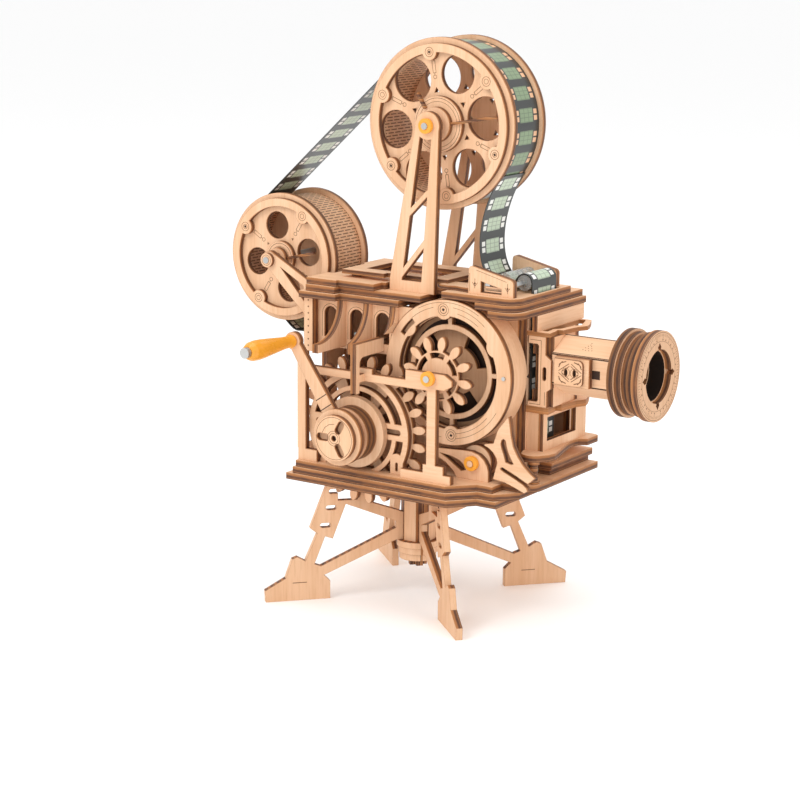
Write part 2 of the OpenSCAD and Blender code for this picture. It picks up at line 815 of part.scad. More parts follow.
// Orange cap on a rod's end in front of a plate whose front face is at y
module cap(x, y, z) {
  translate([x, y - side_gap, z]) rotate([quarter_turn, 0, 0]) difference() {
    cylinder(r = cap_r, h = cap_t);
    translate([0, 0, -over]) cylinder(r = rod_r, h = cap_t + 2 * over);
  }
}
module shutter_knob() {
  color("orange") cap(ax, bridge_y, az);
}

// --- Crank --------------------------------------------------------------
module crank_shaft() {
  color("silver") translate([cx, inner_back + rod_out, cz]) rotate([quarter_turn, 0, 0])
    cylinder(r = crank_rod_r, h = inner_back + rod_out - disc_y);
}
face_hole_r = 1.3;
face_slot_l = 6.6;
face_slot_w = 3.4;
face_slot_r = 6;
module crank_face() {
  color("wheat") facing(face_y, reel_ply) at(cx, cz) difference() {
    circle(face_r);
    circle(face_hole_r);
    for (a = [60, 180, 300]) rotate(a) at(face_slot_r, 0) slot(face_slot_l, face_slot_w);
  }
}
mid_disc_r = 12.8;
sleeve_r = 3.6;
module crank_drum() {
  color("sienna") {
    facing(disc_y) at(cx, cz) ring(mid_disc_r, crank_rod_r);
    facing(drum_y, drum_l) at(cx, cz) ring(drum_r, crank_rod_r);
    facing(flange_y) at(cx, cz) ring(flange_r, crank_rod_r);
    facing(gear_back, -inner_y - side_gap - gear_back) at(cx, cz) ring(sleeve_r, crank_rod_r);
  }
}
arm_hub_r = 6.2;
arm_w_hub = 7.6;
arm_w_end = 5.2;
arm_end_r = 4;
arm_slot_share = 0.3;
module crank_arm() {
  color("wheat") facing(arm_y) difference() {
    union() {
      at(cx, cz) circle(arm_hub_r);
      at(cx, cz) rotate(half_turn - crank_angle) polygon([
        [0, -arm_w_hub / 2], [crank_len, -arm_w_end / 2], [crank_len, arm_w_end / 2], [0, arm_w_hub / 2]
      ]);
      at(px, pz) circle(arm_end_r);
    }
    at(cx, cz) circle(crank_rod_r);
    at(px, pz) circle(rod_r);
  }
}
eye_r = 2.4;
grip_y = arm_y - side_gap;
pin_out = 2;
module handle_pin() {
  color("silver") translate([px, drum_y, pz]) rotate([quarter_turn, 0, 0]) {
    cylinder(r = rod_r, h = drum_y - grip_y + grip_l + side_gap + pin_out);
    translate([0, 0, drum_y - grip_y + grip_l + side_gap]) cylinder(r = eye_r, h = pin_out);
  }
}
// Turned grip: radius shares along its length
grip_shares = [
  [0, 0.62], [0.04, 0.7], [0.1, 0.6], [0.2, 0.62], [0.45, 0.8], [0.7, 0.97],
  [0.82, 1], [0.92, 0.94], [0.98, 0.75], [1, 0.58]
];
module handle_grip() {
  color("orange") translate([px, grip_y, pz]) rotate([quarter_turn, 0, 0]) rotate_extrude()
    polygon(concat(
      [[rod_r + run_gap, 0]],
      [for (p = grip_shares) [p[1] * grip_r, p[0] * grip_l]],
      [[rod_r + run_gap, grip_l]]
    ));
}

// --- Idler --------------------------------------------------------------
idler_dx = 14;
idler_h = 7.8;
idler_x = ax + idler_dx;
idler_z = base_z + idler_h;
idler_head_r = 7.9;
idler_head_dx = 0.4;
idler_head_dz = 1.8;
idler_tail_l = 17.4;
idler_tail_up = 3.2;
idler_tail_w = 3.2;
idler_foot_left = 4.6;
idler_foot_right = 7.7;
module idler_cover() {
  color("wheat") facing(housing_front) difference() {
    union() {
      at(idler_x + idler_head_dx, idler_z - idler_head_dz) circle(idler_head_r);
      strip(
        [idler_x - idler_head_dx, idler_z + idler_tail_up],
        [idler_x - idler_tail_l, idler_z + idler_tail_up], idler_tail_w
      );
      box2(idler_x - idler_foot_left, base_z, idler_x + idler_foot_right, idler_z - idler_head_dz);
    }
    at(idler_x, idler_z) circle(rod_r + run_gap);
    ring_outline();
    box2(idler_x - 2 * idler_head_r, base_z - 2 * idler_head_r, idler_x + 2 * idler_head_r, base_z);
  }
}
idler_r = 7.4;
module idler_wheel() {
  color("tan") {
    facing(rim_front + side_gap, rim_depth - 2 * side_gap) at(idler_x, idler_z) ring(idler_r - reel_ply, rod_r);
    facing(rim_front + side_gap) at(idler_x, idler_z) ring(idler_r, rod_r);
    facing(-inner_y - side_gap - ply) at(idler_x, idler_z) ring(idler_r, rod_r);
    translate([idler_x, inner_back + rod_out, idler_z]) rotate([quarter_turn, 0, 0])
      cylinder(r = rod_r, h = inner_back + rod_out - cap_face(housing_front) + rod_out / 2);
  }
}
module idler_knob() {
  color("orange") cap(idler_x, housing_front, idler_z);
}
bracket2_shares = [
  [0.32, 1], [0.43, 0.884], [0.5, 0.725], [0.58, 0.551], [0.72, 0.386], [0.995, 0.235],
  [0.93, 0.035], [0.75, 0.035], [0.42, 0.045], [0, 0.351], [0.065, 0.47], [0.105, 0.612],
  [-0.065, 0.67], [0, 0.768]
];
bracket2_window_shares = [[0.19, 0.719], [0.3, 0.629], [0.41, 0.438], [0.35, 0.409], [0.16, 0.559]];
bracket2_slot_shares = [[0.135, 0.306], [0.21, 0.345], [0.76, 0.185], [0.72, 0.125]];
bracket2_w = 20;
bracket2_h = 34.5;
bracket2_in = 7.1;
bracket2_x = ax + ring_r - bracket2_in;
module side_bracket() {
  color("wheat") facing(housing_front) difference() {
    polygon(shaped(bracket2_shares, bracket2_w, bracket2_h, bracket2_x, base_up_z));
    polygon(shaped(bracket2_window_shares, bracket2_w, bracket2_h, bracket2_x, base_up_z));
    polygon(shaped(bracket2_slot_shares, bracket2_w, bracket2_h, bracket2_x, base_up_z));
    ring_outline();
  }
}

// --- Reels --------------------------------------------------------------
hole_big_r = 9.6;
hole_small_r = 8.5;
hole_place_r = 23.7;
hole_turn = 9;
reel_hub_r = 12.4;
upper_ring_ro = 35.2;
upper_ring_ri = 31.3;
upper_boss_r = 3.6;
reel_mark_r = 1.5;
module upper_flange() {
  difference() {
    circle(upper_r);
    for (i = [0 : 5]) rotate(hole_turn + i * 60) {
      at(hole_place_r, 0) circle(i % 2 == 0 ? hole_big_r : hole_small_r);
      rotate(30) at(reel_hub_r + reel_mark_r + reel_mark_r / 2, 0) circle(reel_mark_r, $fn = 3);
    }
    circle(rod_r);
  }
}
module upper_bosses() {
  ring(upper_ring_ro, upper_ring_ri);
  for (i = [0 : 5]) rotate(hole_turn + 30 + i * 60) at(upper_ring_ro - upper_boss_r, 0) circle(upper_boss_r);
}
module upper_reel_front() {
  color("wheat") {
    facing(gap_front - reel_ply, reel_ply) at(ux, uz) upper_flange();
    facing(gap_front - 2 * reel_ply, reel_ply) at(ux, uz) upper_bosses();
  }
}
module upper_reel_back() {
  color("wheat") {
    facing(gap_back, reel_ply) at(ux, uz) upper_flange();
    facing(gap_back + reel_ply, reel_ply) at(ux, uz) upper_bosses();
  }
}
core_wall = 1.5;
core_ro = 33;
// Stepped hub outside a reel's flange, and the rod through both supports
module reel_axle(x, z, hub_r) {
  facing(gap_front - 2 * reel_ply, reel_ply) at(x, z) ring(hub_r, rod_r);
  facing(gap_front - 3 * reel_ply, reel_ply) at(x, z) ring(hub_r * 0.62, rod_r);
  facing(support_front_y + ply + side_gap, gap_front - 3 * reel_ply - support_front_y - ply - side_gap)
    at(x, z) ring(hub_r * 0.34, rod_r);
  facing(gap_back + reel_ply, reel_ply) at(x, z) ring(hub_r, rod_r);
  facing(gap_back + 2 * reel_ply, support_back_y - gap_back - 2 * reel_ply - side_gap)
    at(x, z) ring(hub_r * 0.34, rod_r);
  translate([x, support_back_y + ply + side_gap + cap_t + rod_out / 2, z]) rotate([quarter_turn, 0, 0])
    cylinder(r = rod_r, h = support_back_y + ply + side_gap + cap_t + rod_out - cap_face(support_front_y));
}
module upper_reel_core() {
  color("tan") {
    facing(gap_front, reel_gap) at(ux, uz) ring(core_ro, core_ro - core_wall);
    reel_axle(ux, uz, reel_hub_r);
  }
}
// Orange caps on both ends of a reel's rod
module reel_caps(x, z) {
  cap(x, support_front_y, z);
  translate([x, support_back_y + ply + side_gap + cap_t, z]) rotate([quarter_turn, 0, 0]) difference() {
    cylinder(r = cap_r, h = cap_t);
    translate([0, 0, -over]) cylinder(r = rod_r, h = cap_t + 2 * over);
  }
}
module upper_reel_knobs() {
  color("orange") reel_caps(ux, uz);
}
lower_hole_r = 6.4;
lower_hole_place_r = 15;
lower_turn = 13;
lower_ring_ro = 27.6;
lower_ring_ri = 23.9;
lower_boss_turn = 58;
module lower_flange() {
  difference() {
    circle(lower_r);
    for (i = [0 : 3]) rotate(lower_turn + i * quarter_turn) at(lower_hole_place_r, 0) circle(lower_hole_r);
    circle(rod_r);
  }
}
module lower_bosses() {
  ring(lower_ring_ro, lower_ring_ri);
  for (i = [0 : 3])
    rotate(lower_boss_turn + i * quarter_turn) at(lower_ring_ro - upper_boss_r, 0) circle(upper_boss_r);
}
module lower_reel_front() {
  color("wheat") {
    facing(gap_front - reel_ply, reel_ply) at(lx, lz) lower_flange();
    facing(gap_front - 2 * reel_ply, reel_ply) at(lx, lz) lower_bosses();
  }
}
module lower_reel_back() {
  color("wheat") {
    facing(gap_back, reel_ply) at(lx, lz) lower_flange();
    facing(gap_back + reel_ply, reel_ply) at(lx, lz) lower_bosses();
  }
}
lower_hub_r = 7.6;
module lower_reel_drum() {
  color("tan") {
    facing(gap_front, reel_gap) at(lx, lz) ring(lower_drum_r, lower_drum_r - core_wall);
    reel_axle(lx, lz, lower_hub_r);
  }
}
module lower_reel_knobs() {
  color("orange") reel_caps(lx, lz);
}
// A-frame: foot block, two legs leaning together, braces, head
aframe_foot_left = 19;
aframe_foot_right = 4.5;
aframe_foot_h = 5;
aframe_head_r = 6.2;
aframe_leg_w = 5.4;
aframe_leg_top_w = 3.9;
aframe_brace_w = 2.2;
aframe_left_x = 15.2;
aframe_right_x = 1.2;
aframe_spread = 3.6;
brace_z_shares = [0.08, 0.48];
brace_rise_shares = [0.25, 0.15];
module aframe() {
  difference() {
    union() {
      box2(ux - aframe_foot_left, deck_up_z, ux + aframe_foot_right, deck_up_z + aframe_foot_h);
      polygon([
        [ux - aframe_foot_left, deck_up_z + aframe_foot_h],
        [ux - aframe_foot_left + aframe_leg_w + over, deck_up_z + aframe_foot_h],
        [ux - aframe_spread, uz - aframe_head_r / 2],
        [ux - aframe_spread - over, uz],
        [ux - aframe_head_r, uz]
      ]);
      polygon([
        [ux - aframe_right_x - aframe_leg_top_w / 4, deck_up_z + aframe_foot_h],
        [ux + aframe_foot_right, deck_up_z + aframe_foot_h],
        [ux + aframe_head_r - over / 4, uz],
        [ux + aframe_head_r - aframe_leg_top_w, uz - aframe_head_r / 2]
      ]);
      at(ux, uz) circle(aframe_head_r);
      for (i = [0, 1]) let (s = brace_z_shares[i]) strip(
        [ux - aframe_left_x + s * aframe_left_x * 0.72, deck_up_z + s * upper_h],
        [ux + s * aframe_right_x, deck_up_z + (s + brace_rise_shares[i]) * upper_h], aframe_brace_w
      );
    }
    at(ux, uz) circle(rod_r + run_gap);
  }
}
module reel_supports() {
  color("wheat") {
    facing(support_front_y) aframe();
    facing(support_back_y) aframe();
  }
}
reel_arm_shares = [
  [0.02, 0.12], [0.66, -0.2], [0.76, -0.28], [0.76, -0.388], [1, -0.388], [1, -1], [-0.06, -0.08]
];
reel_arm_window_shares = [[0.2, -0.08], [0.62, -0.3], [0.66, -0.46], [0.88, -0.5], [0.88, -0.76]];
reel_arm_l = lower_x - body_left;
reel_arm_drop = 34;
module reel_arm() {
  difference() {
    union() {
      at(lx, lz) circle(aframe_head_r * 0.65);
      polygon(shaped(reel_arm_shares, reel_arm_l, reel_arm_drop, lx, lz));
    }
    polygon(shaped(reel_arm_window_shares, reel_arm_l, reel_arm_drop, lx, lz));
    at(lx, lz) circle(rod_r + run_gap);
    box2(-body_left - deck_over, deck_z, -body_left + over, deck_top);
  }
}
module reel_arms() {
  color("wheat") {
    facing(support_front_y) reel_arm();
    facing(support_back_y) reel_arm();
  }
}

// --- Film ---------------------------------------------------------------
module film_wound() {
  color("darkslategray") facing(film_front, film_w) at(ux, uz) ring(wound_r, core_ro);
}
// Outer tangent between the two reels' wound films
wrap_r = lower_drum_r + side_gap;
tan_len = norm([ux - lx, uz - lz]);
tan_slope = atan2(uz - lz, ux - lx);
tan_turn = tan_slope + acos((wrap_r - wound_r - side_gap) / tan_len);
run_r = wound_r + side_gap;
top_a = [ux + run_r * cos(tan_turn), uz + run_r * sin(tan_turn)];
top_b = [lx + wrap_r * cos(tan_turn), lz + wrap_r * sin(tan_turn)];
// Left-hand normal of a path at a point
function turned(p, q) = [q[1] - p[1], p[0] - q[0]] / norm(q - p);
function path_n(pts, i) =
  turned(pts[max(i - 1, 0)], pts[min(i + 1, len(pts) - 1)]);
// Film along a path, film_t thick towards the path's right
module ribbon(pts) {
  n = len(pts);
  facing(film_front, film_w) polygon(concat(
    pts, [for (i = [n - 1 : -1 : 0]) pts[i] + film_t * path_n(pts, i)]
  ));
}
wrap_steps = 20;
wrap_end = 262;
wrap_path = [
  for (i = [0 : wrap_steps])
    let (a = tan_turn + i * (wrap_end - tan_turn) / wrap_steps)
    [lx + wrap_r * cos(a), lz + wrap_r * sin(a)]
];
film_in_z = base_z + film_slot_z + film_slot_h / 2;
return_x_shares = [0.02, 0.12, 0.3, 0.6, 1.15];
return_z_shares = [0.35, 0.1, 0.02, 0, 0];
return_path = [
  for (i = [0 : 4]) [
    lx + return_x_shares[i] * reel_arm_l,
    film_in_z + return_z_shares[i] * (lz - wrap_r - film_in_z)
  ]
];
guide_foot_z = deck_top;
roller_a_x = guide_left + 9.3;
roller_b_x = film_hole_x + film_t - film_roller_r - side_gap - film_t;
roller_z = deck_top + 4.3;
feed_a = 324;
feed_r = run_r + film_t;
feed_lift = 22;
feed_lead = 17.4;
feed_in_a = 260;
feed_steps = 14;
feed_from = [ux + feed_r * cos(feed_a), uz + feed_r * sin(feed_a)];
feed_to = [roller_a_x, roller_z] + (roller_r + side_gap) * [cos(feed_in_a), sin(feed_in_a)];
feed_via = feed_to + feed_lead * [cos(feed_in_a - quarter_turn), sin(feed_in_a - quarter_turn)];
feed_off = feed_from + feed_lift * [sin(feed_a), -cos(feed_a)];
// Smooth curve from one point to another, pulled towards two more
function curve(p, q, r, s, t) =
  pow(1 - t, 3) * p + 3 * t * pow(1 - t, 2) * q + 3 * t * t * (1 - t) * r + pow(t, 3) * s;
feed_run = [for (i = [0 : feed_steps]) curve(feed_from, feed_off, feed_via, feed_to, i / feed_steps)];
over_r = film_roller_r + side_gap + film_t;
feed_path = concat(
  feed_run,
  [for (a = [-80 : 20 : -40]) [roller_a_x + (roller_r + side_gap) * cos(a), roller_z + (roller_r + side_gap) * sin(a)]],
  [for (a = [140 : -20 : 0]) [roller_b_x + over_r * cos(a), roller_z + over_r * sin(a)]],
  [[film_hole_x + film_t, deck_top], [film_hole_x + film_t, base_z + gate_open_low]]
);
module film_runs() {
  color("darkslategray") {
    ribbon([top_a, top_b]);
    ribbon(wrap_path);
    ribbon(return_path);
    ribbon(feed_path);
  }
}

// --- Film guide ---------------------------------------------------------
guide_round = 3;
guide_slat_w = 1.3;
guide_window_h = 4.5;
guide_end_drop = 4;
module guide_plate() {
  difference() {
    union() {
      polygon([
        [guide_left, deck_top], [guide_left + guide_l, deck_top],
        [guide_left + guide_l, deck_top + guide_h - guide_end_drop - guide_round],
        [guide_left + guide_l - guide_round, deck_top + guide_h - guide_end_drop],
        [guide_left + guide_round, deck_top + guide_h], [guide_left, deck_top + guide_h]
      ]);
      at(guide_left + guide_l - guide_round, deck_top + guide_h - guide_end_drop - guide_round) circle(guide_round);
    }
    for (i = [0 : 2])
      at(guide_left + guide_slat_w * (1 + 1.6 * i), deck_top + guide_slat_w)
        box2(0, 0, guide_slat_w, guide_window_h);
  }
}
module guide_plates() {
  color("wheat") difference() {
    union() {
      facing(gap_front - ply) guide_plate();
      facing(gap_back) guide_plate();
    }
    for (x = [roller_a_x, roller_b_x])
      facing(gap_front - ply / 2 - side_gap, reel_gap + ply + 2 * side_gap) at(x, roller_z) circle(rod_r + run_gap);
  }
}
module roller(x, r) {
  facing(gap_front + side_gap, reel_gap - 2 * side_gap) at(x, roller_z) circle(r);
  facing(gap_front - ply / 2, reel_gap + ply) at(x, roller_z) circle(rod_r);
}
module guide_roller() {
  color("silver") roller(roller_a_x, roller_r);
}
module film_roller() {
  color("silver") roller(roller_b_x, film_roller_r);
}

// --- Gate and lens ------------------------------------------------------
gate_low = 33.1;
gate_high = 64.5;
gate_half_front = 12.95;
gate_half_back = 8.65;
gate_front_y = film_y - gate_half_front;
gate_back_y = film_y + gate_half_back;
gate_ear = 1.5;
gate_ear_h = 5;
gate_ear_slope = 2.5;
gate_top_in = 2.6;
key_r = 1.3;
key_h = 6.7;
key_in = 3.6;
gate_win_x0 = 5.9;
gate_win_x1 = 9.9;
gate_win_up = 10.5;
gate_win_down = 14.1;
module gate_frame() {
  color("wheat") difference() {
    gate_plates();
    translate([film_hole_x - side_gap / 2, gap_front, base_z + gate_low - over])
      cube([film_t + side_gap, reel_gap, gate_high - gate_low + 2 * over]);
    translate([gate_right, film_y, lens_z]) rotate([0, quarter_turn, 0])
      cylinder(r = barrel_r, h = barrel_l, $fn = 6);
  }
}
module gate_plates() {
  facing(gate_front_y) difference() {
    polygon([
      [body_right, base_z + gate_low], [gate_right, base_z + gate_low],
      [gate_right, lens_z - gate_ear_h - gate_ear_slope], [gate_right + gate_ear, lens_z - gate_ear_h],
      [gate_right + gate_ear, lens_z + gate_ear_h],
      [gate_right - gate_top_in, lens_z + gate_ear_h + gate_ear_slope],
      [gate_right - gate_top_in, base_z + gate_high], [body_right, base_z + gate_high]
    ]);
    box2(
      gate_right - gate_win_x1, lens_z - gate_win_down,
      gate_right - gate_win_x0, lens_z + gate_win_up
    );
    at(gate_right - key_in, lens_z - key_h / 2) {
      circle(key_r);
      box2(-key_r / 2, -key_h / 2, key_r / 2, 0);
    }
  }
  facing(gate_back_y) box2(body_right, base_z + gate_low, gate_right, base_z + gate_high);
  sideways(gate_right - ply) difference() {
    box2(gate_front_y + ply, base_z + gate_low, gate_back_y, base_z + gate_high);
    at(film_y, lens_z) circle(lens_hole_r);
  }
}
lens_hole_r = 9;
ledge_out = 2.6;
ledge_back = 38;
rail_z = 9.9;
rail_bulge = 3.4;
rail_depth = 7;
ledge_bite = 3.2;
post_in = 3.4;
post_axis_x = base_right - post_in;
post_axis_y = -8.2;
baluster_r = 2.4;
post_shares = [
  [1, 0], [1, 0.1], [0.5, 0.22], [0.55, 0.3], [0.95, 0.45], [0.95, 0.6], [0.5, 0.76], [1, 0.88], [1, 1]
];
// Horizontal plates above, below and under the gate
module ledge() {
  difference() {
    box2(body_right, gate_front_y, gate_right + ledge_out, ledge_back);
    at(gate_right + ledge_out + ledge_bite, gate_back_y + ply + ledge_cove) circle(ledge_cove);
    box2(film_hole_x - side_gap / 2, gap_front, film_hole_x + film_hole_w, gap_back);
  }
}
ledge_cove = 6;
module gate_ledges() {
  color("tan") {
    lying(base_z + gate_high) difference() {
      ledge();
      box2(film_hole_x + film_hole_w + ply, gap_front + ply, gate_right - ply, gate_back_y);
    }
    lying(base_z + gate_low - ply) ledge();
    lying(base_z + rail_z) difference() {
      union() {
        box2(body_right, -ply, gate_right, base_back);
        strip([body_right + rail_bulge, -ply], [post_axis_x, post_axis_y], 2 * rail_bulge);
        at(gate_right, base_back - rail_bulge) circle(rail_bulge);
      }
      at(gate_right - rail_depth + rail_cove, base_back / 2) circle(rail_cove);
      box2(0, -base_front, body_right, base_back);
    }
    translate([post_axis_x, post_axis_y, base_z]) rotate_extrude()
      polygon(concat([[0, 0]], shaped(post_shares, baluster_r, rail_z), [[0, rail_z]]));
  }
}
rail_cove = 27.8;
hex_in = ply / cos(half_turn / 6);
barrel_slot_w = 3.4;
module lens_barrel() {
  color("wheat") difference() {
    translate([gate_right, film_y, lens_z]) rotate([0, quarter_turn, 0]) difference() {
      cylinder(r = barrel_r, h = barrel_l, $fn = 6);
      translate([0, 0, -over]) cylinder(r = barrel_r - hex_in, h = barrel_l + 2 * over, $fn = 6);
    }
    translate([slider_x + slider_l / 2 - pin_half - side_gap, film_y - barrel_r, lens_z - barrel_slot_w / 2])
      cube([2 * pin_half + focus_travel + 2 * side_gap, barrel_r, barrel_slot_w]);
  }
}
pin_half = 1.5;
slider_in = 3.4;
slider_x = gate_right + slider_in;
barrel_flat = barrel_r * cos(half_turn / 6);
slider_hole_r = 1.1;
tube_r = barrel_flat - ply - side_gap;
tube_wall = 1.4;
tube_l = 20;
glass_t = 2;
module focus_slider() {
  color("wheat") {
    facing(film_y - barrel_flat - side_gap - ply) difference() {
      box2(slider_x, lens_z - slider_h / 2, slider_x + slider_l, lens_z + slider_h / 2);
      for (s = [-1, 1])
        at(slider_x + slider_l / 2 + s * 2 * slider_hole_r, lens_z) circle(slider_hole_r);
    }
    translate([slider_x + slider_l / 2 - pin_half, film_y - barrel_flat - side_gap, lens_z - pin_half])
      cube([2 * pin_half, barrel_flat + side_gap - sqrt(tube_r * tube_r - pin_half * pin_half) + 0, 2 * pin_half]);
  }
  color("sienna") translate([slider_x, film_y, lens_z]) rotate([0, quarter_turn, 0]) difference() {
    cylinder(r = tube_r, h = tube_l);
    translate([0, 0, -over]) cylinder(r = tube_r - tube_wall, h = tube_l + 2 * over);
  }
}
module lens_glass() {
  color("lightblue") translate([slider_x + tube_l / 2, film_y, lens_z]) rotate([0, quarter_turn, 0])
    cylinder(r = tube_r - tube_wall, h = glass_t);
}
stack_steps = [0.4, 1.6, 2.6, 1.2];
module lens_stack() {
  color("sienna") for (i = [0 : 3])
    sideways(gate_right + barrel_l + i * ply) at(film_y, lens_z) ring(lens_ring_r - stack_steps[i], lens_bore_r);
}
notch_r = 2;
notch_place_r = lens_bore_r + notch_r * 0.85;
module lens_face() {
  color("wheat") sideways(gate_right + barrel_l + 4 * ply) at(film_y, lens_z) difference() {
    ring(lens_ring_r, lens_bore_r);
    for (a = [0 : quarter_turn : 359]) rotate(a) at(notch_place_r, 0) circle(notch_r, $fn = 4);
  }
}

legs_left();
legs_right();
stand_hub();
base_lower();
base_middle();
base_upper();
base_step();
wall_left();
wall_arcade();
wall_front();
wall_right();
wall_back();
deck_lower();
deck_middle();
deck_upper();
wall_ribs();
crank_bracket();
corner_frame();
bridge();
gear_guard();
ring_front();
ring_rim();
ring_spokes();
shutter();
gear_small();
shutter_shaft();
shutter_knob();
gear_large();
crank_shaft();
crank_face();
crank_drum();
crank_arm();
handle_pin();
handle_grip();
idler_cover();
idler_wheel();
idler_knob();
side_bracket();
upper_reel_front();
upper_reel_back();
upper_reel_core();
upper_reel_knobs();
lower_reel_front();
lower_reel_back();
lower_reel_drum();
lower_reel_knobs();
reel_supports();
reel_arms();
film_wound();
film_runs();
guide_plates();
guide_roller();
film_roller();
gate_frame();
gate_ledges();
lens_barrel();
focus_slider();
lens_stack();
lens_face();
lens_glass();
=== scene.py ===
# Hand-cranked film projector model in laser-cut plywood: finishes, film,
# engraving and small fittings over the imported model. +Z is up, the crank
# side faces -Y and the lens points along +X. The scene is in metres, while
# sheets, marks and plates are given in millimetres.
import functools
import json
import math
import bpy
from mathutils import Matrix, Vector


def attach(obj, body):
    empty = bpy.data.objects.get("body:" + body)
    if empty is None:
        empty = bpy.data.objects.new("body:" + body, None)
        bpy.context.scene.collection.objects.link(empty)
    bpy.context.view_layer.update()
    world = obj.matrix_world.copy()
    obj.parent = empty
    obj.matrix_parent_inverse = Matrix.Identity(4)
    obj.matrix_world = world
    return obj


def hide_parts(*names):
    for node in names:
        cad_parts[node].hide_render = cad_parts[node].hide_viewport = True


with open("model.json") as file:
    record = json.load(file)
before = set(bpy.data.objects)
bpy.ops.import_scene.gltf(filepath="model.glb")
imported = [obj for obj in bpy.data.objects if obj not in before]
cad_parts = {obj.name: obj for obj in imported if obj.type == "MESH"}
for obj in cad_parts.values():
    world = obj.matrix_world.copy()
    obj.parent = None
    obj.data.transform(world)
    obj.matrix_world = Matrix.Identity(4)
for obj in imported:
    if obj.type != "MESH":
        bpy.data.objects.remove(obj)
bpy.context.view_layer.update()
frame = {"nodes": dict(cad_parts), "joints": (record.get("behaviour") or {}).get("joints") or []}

MM = 0.001
nodes = frame["nodes"]


# ---------------------------------------------------------------- places
def joint_place(name):
    """X and Z of a joint's axis, in metres."""
    for joint in frame["joints"]:
        if joint["name"] == name:
            return joint["pos_m"][0], joint["pos_m"][2]


crank_x, crank_z = joint_place("crank_turn")
handle_x, handle_z = joint_place("handle_spin")
shutter_x, shutter_z = joint_place("shutter_turn")
upper_x, upper_z = joint_place("upper_reel_turn")
lower_x, lower_z = joint_place("lower_reel_turn")
CRANK, SHUTTER = (crank_x / MM, crank_z / MM), (shutter_x / MM, shutter_z / MM)

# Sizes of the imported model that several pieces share, in millimetres
PLY = 3
REEL_LAYER = 0.833
BASE_TOP = 63.5
DECK_TOP = 146
LENS_Y, LENS_Z, LENS_FACE = 11.45, 114.5, 115
GATE_FRONT = -1.5
GATE_LOW, GATE_HIGH = 96.6, 128
GATE_X = 57.75
GATE_RIGHT = 68.9
COVER_FACE, RIM_FACE, GEAR_FACE = -18.35, -15.35, -26.6
SHUTTER_FACE, WALL_FACE = -10.8, -4.5
HOUSING = 26.4, 110.1
ARCADE_LOW = 118.8
LEG_TURN = math.radians(48)


# ------------------------------------------------------------ node wiring
def wire(tree, node, inputs):
    """Links or sets inputs of a node, by name or number."""
    for key, value in inputs.items():
        if isinstance(value, bpy.types.NodeSocket):
            tree.links.new(value, node.inputs[key])
        elif value is not None:
            node.inputs[key].default_value = value


def add(tree, kind, inputs, **settings):
    """First output of a new node."""
    node = tree.nodes.new("ShaderNode" + kind)
    for key, value in settings.items():
        setattr(node, key, value)
    wire(tree, node, inputs)
    return node.outputs[0]


def new_material(name):
    """A material with one Principled shader."""
    mat = bpy.data.materials.new(name)
    mat.use_nodes = True
    tree = mat.node_tree
    tree.nodes.clear()
    out = tree.nodes.new("ShaderNodeOutputMaterial")
    shader = tree.nodes.new("ShaderNodeBsdfPrincipled")
    tree.links.new(shader.outputs["BSDF"], out.inputs["Surface"])
    return mat, tree, shader


def place_of(tree, kind="Object"):
    """Coordinates, or the normal, of the piece itself."""
    return add(tree, "TexCoord", {}).node.outputs[kind]


def parts_of(tree, vector):
    """X, Y and Z of a vector."""
    return add(tree, "SeparateXYZ", {0: vector}).node.outputs


def math_node(kind):
    """A function that adds one kind of Math node and returns its output."""
    def apply(tree, a, b=None, clamp=False):
        return add(tree, "Math", {0: a, 1: b}, operation=kind, use_clamp=clamp)
    return apply


times, divide = math_node("MULTIPLY"), math_node("DIVIDE")
plus, minus = math_node("ADD"), math_node("SUBTRACT")
below, above = math_node("LESS_THAN"), math_node("GREATER_THAN")
fraction, absolute = math_node("FRACT"), math_node("ABSOLUTE")
either, arc_tangent = math_node("MAXIMUM"), math_node("ARCTAN2")
square_root, modulo = math_node("SQRT"), math_node("MODULO")
rounded_down = math_node("FLOOR")


def mix_colour(tree, factor, a, b, blend="MIX"):
    """Mixes two colours, or multiplies them."""
    a, b = ((*c, 1) if isinstance(c, tuple) else c for c in (a, b))
    mix = add(tree, "Mix", {0: factor, 6: a, 7: b}, data_type="RGBA", blend_type=blend)
    return mix.node.outputs[2]


def srgb(r, g, b):
    """Linear colour from screen values of 0 to 255."""
    def channel(c):
        c /= 255
        return c / 12.92 if c <= 0.04045 else ((c + 0.055) / 1.055) ** 2.4
    return channel(r), channel(g), channel(b)


def ramp(tree, factor, stops):
    """Colour ramp with (place, colour) stops."""
    colour = add(tree, "ValToRGB", {0: factor})
    elements = colour.node.color_ramp.elements
    while len(elements) < len(stops):
        elements.new(0.5)
    for element, (place, tint) in zip(elements, stops):
        element.position = place
        element.color = (*tint, 1)
    return colour


def noise(tree, vector, scale, detail=3.0, rough=0.55):
    """Grey noise."""
    return add(tree, "TexNoise", {
        "Vector": vector, "Scale": scale, "Detail": detail, "Roughness": rough})


def polar(tree, u, v, along=1):
    """Angle, depth and radius about an axis along Y (1) or X (0) through u and v."""
    away = (0, -u, -v) if along == 0 else (-u, 0, -v)
    split = parts_of(tree, add(tree, "Mapping", {"Vector": place_of(tree), "Location": away}))
    side, up = split[1 - along], split[2]
    radius = square_root(tree, plus(tree, times(tree, up, up), times(tree, side, side)))
    return arc_tangent(tree, up, side), split[along], radius


def bumped(tree, height, strength, distance):
    """Normal from a height."""
    return add(tree, "Bump", {"Height": height, "Strength": strength, "Distance": distance})


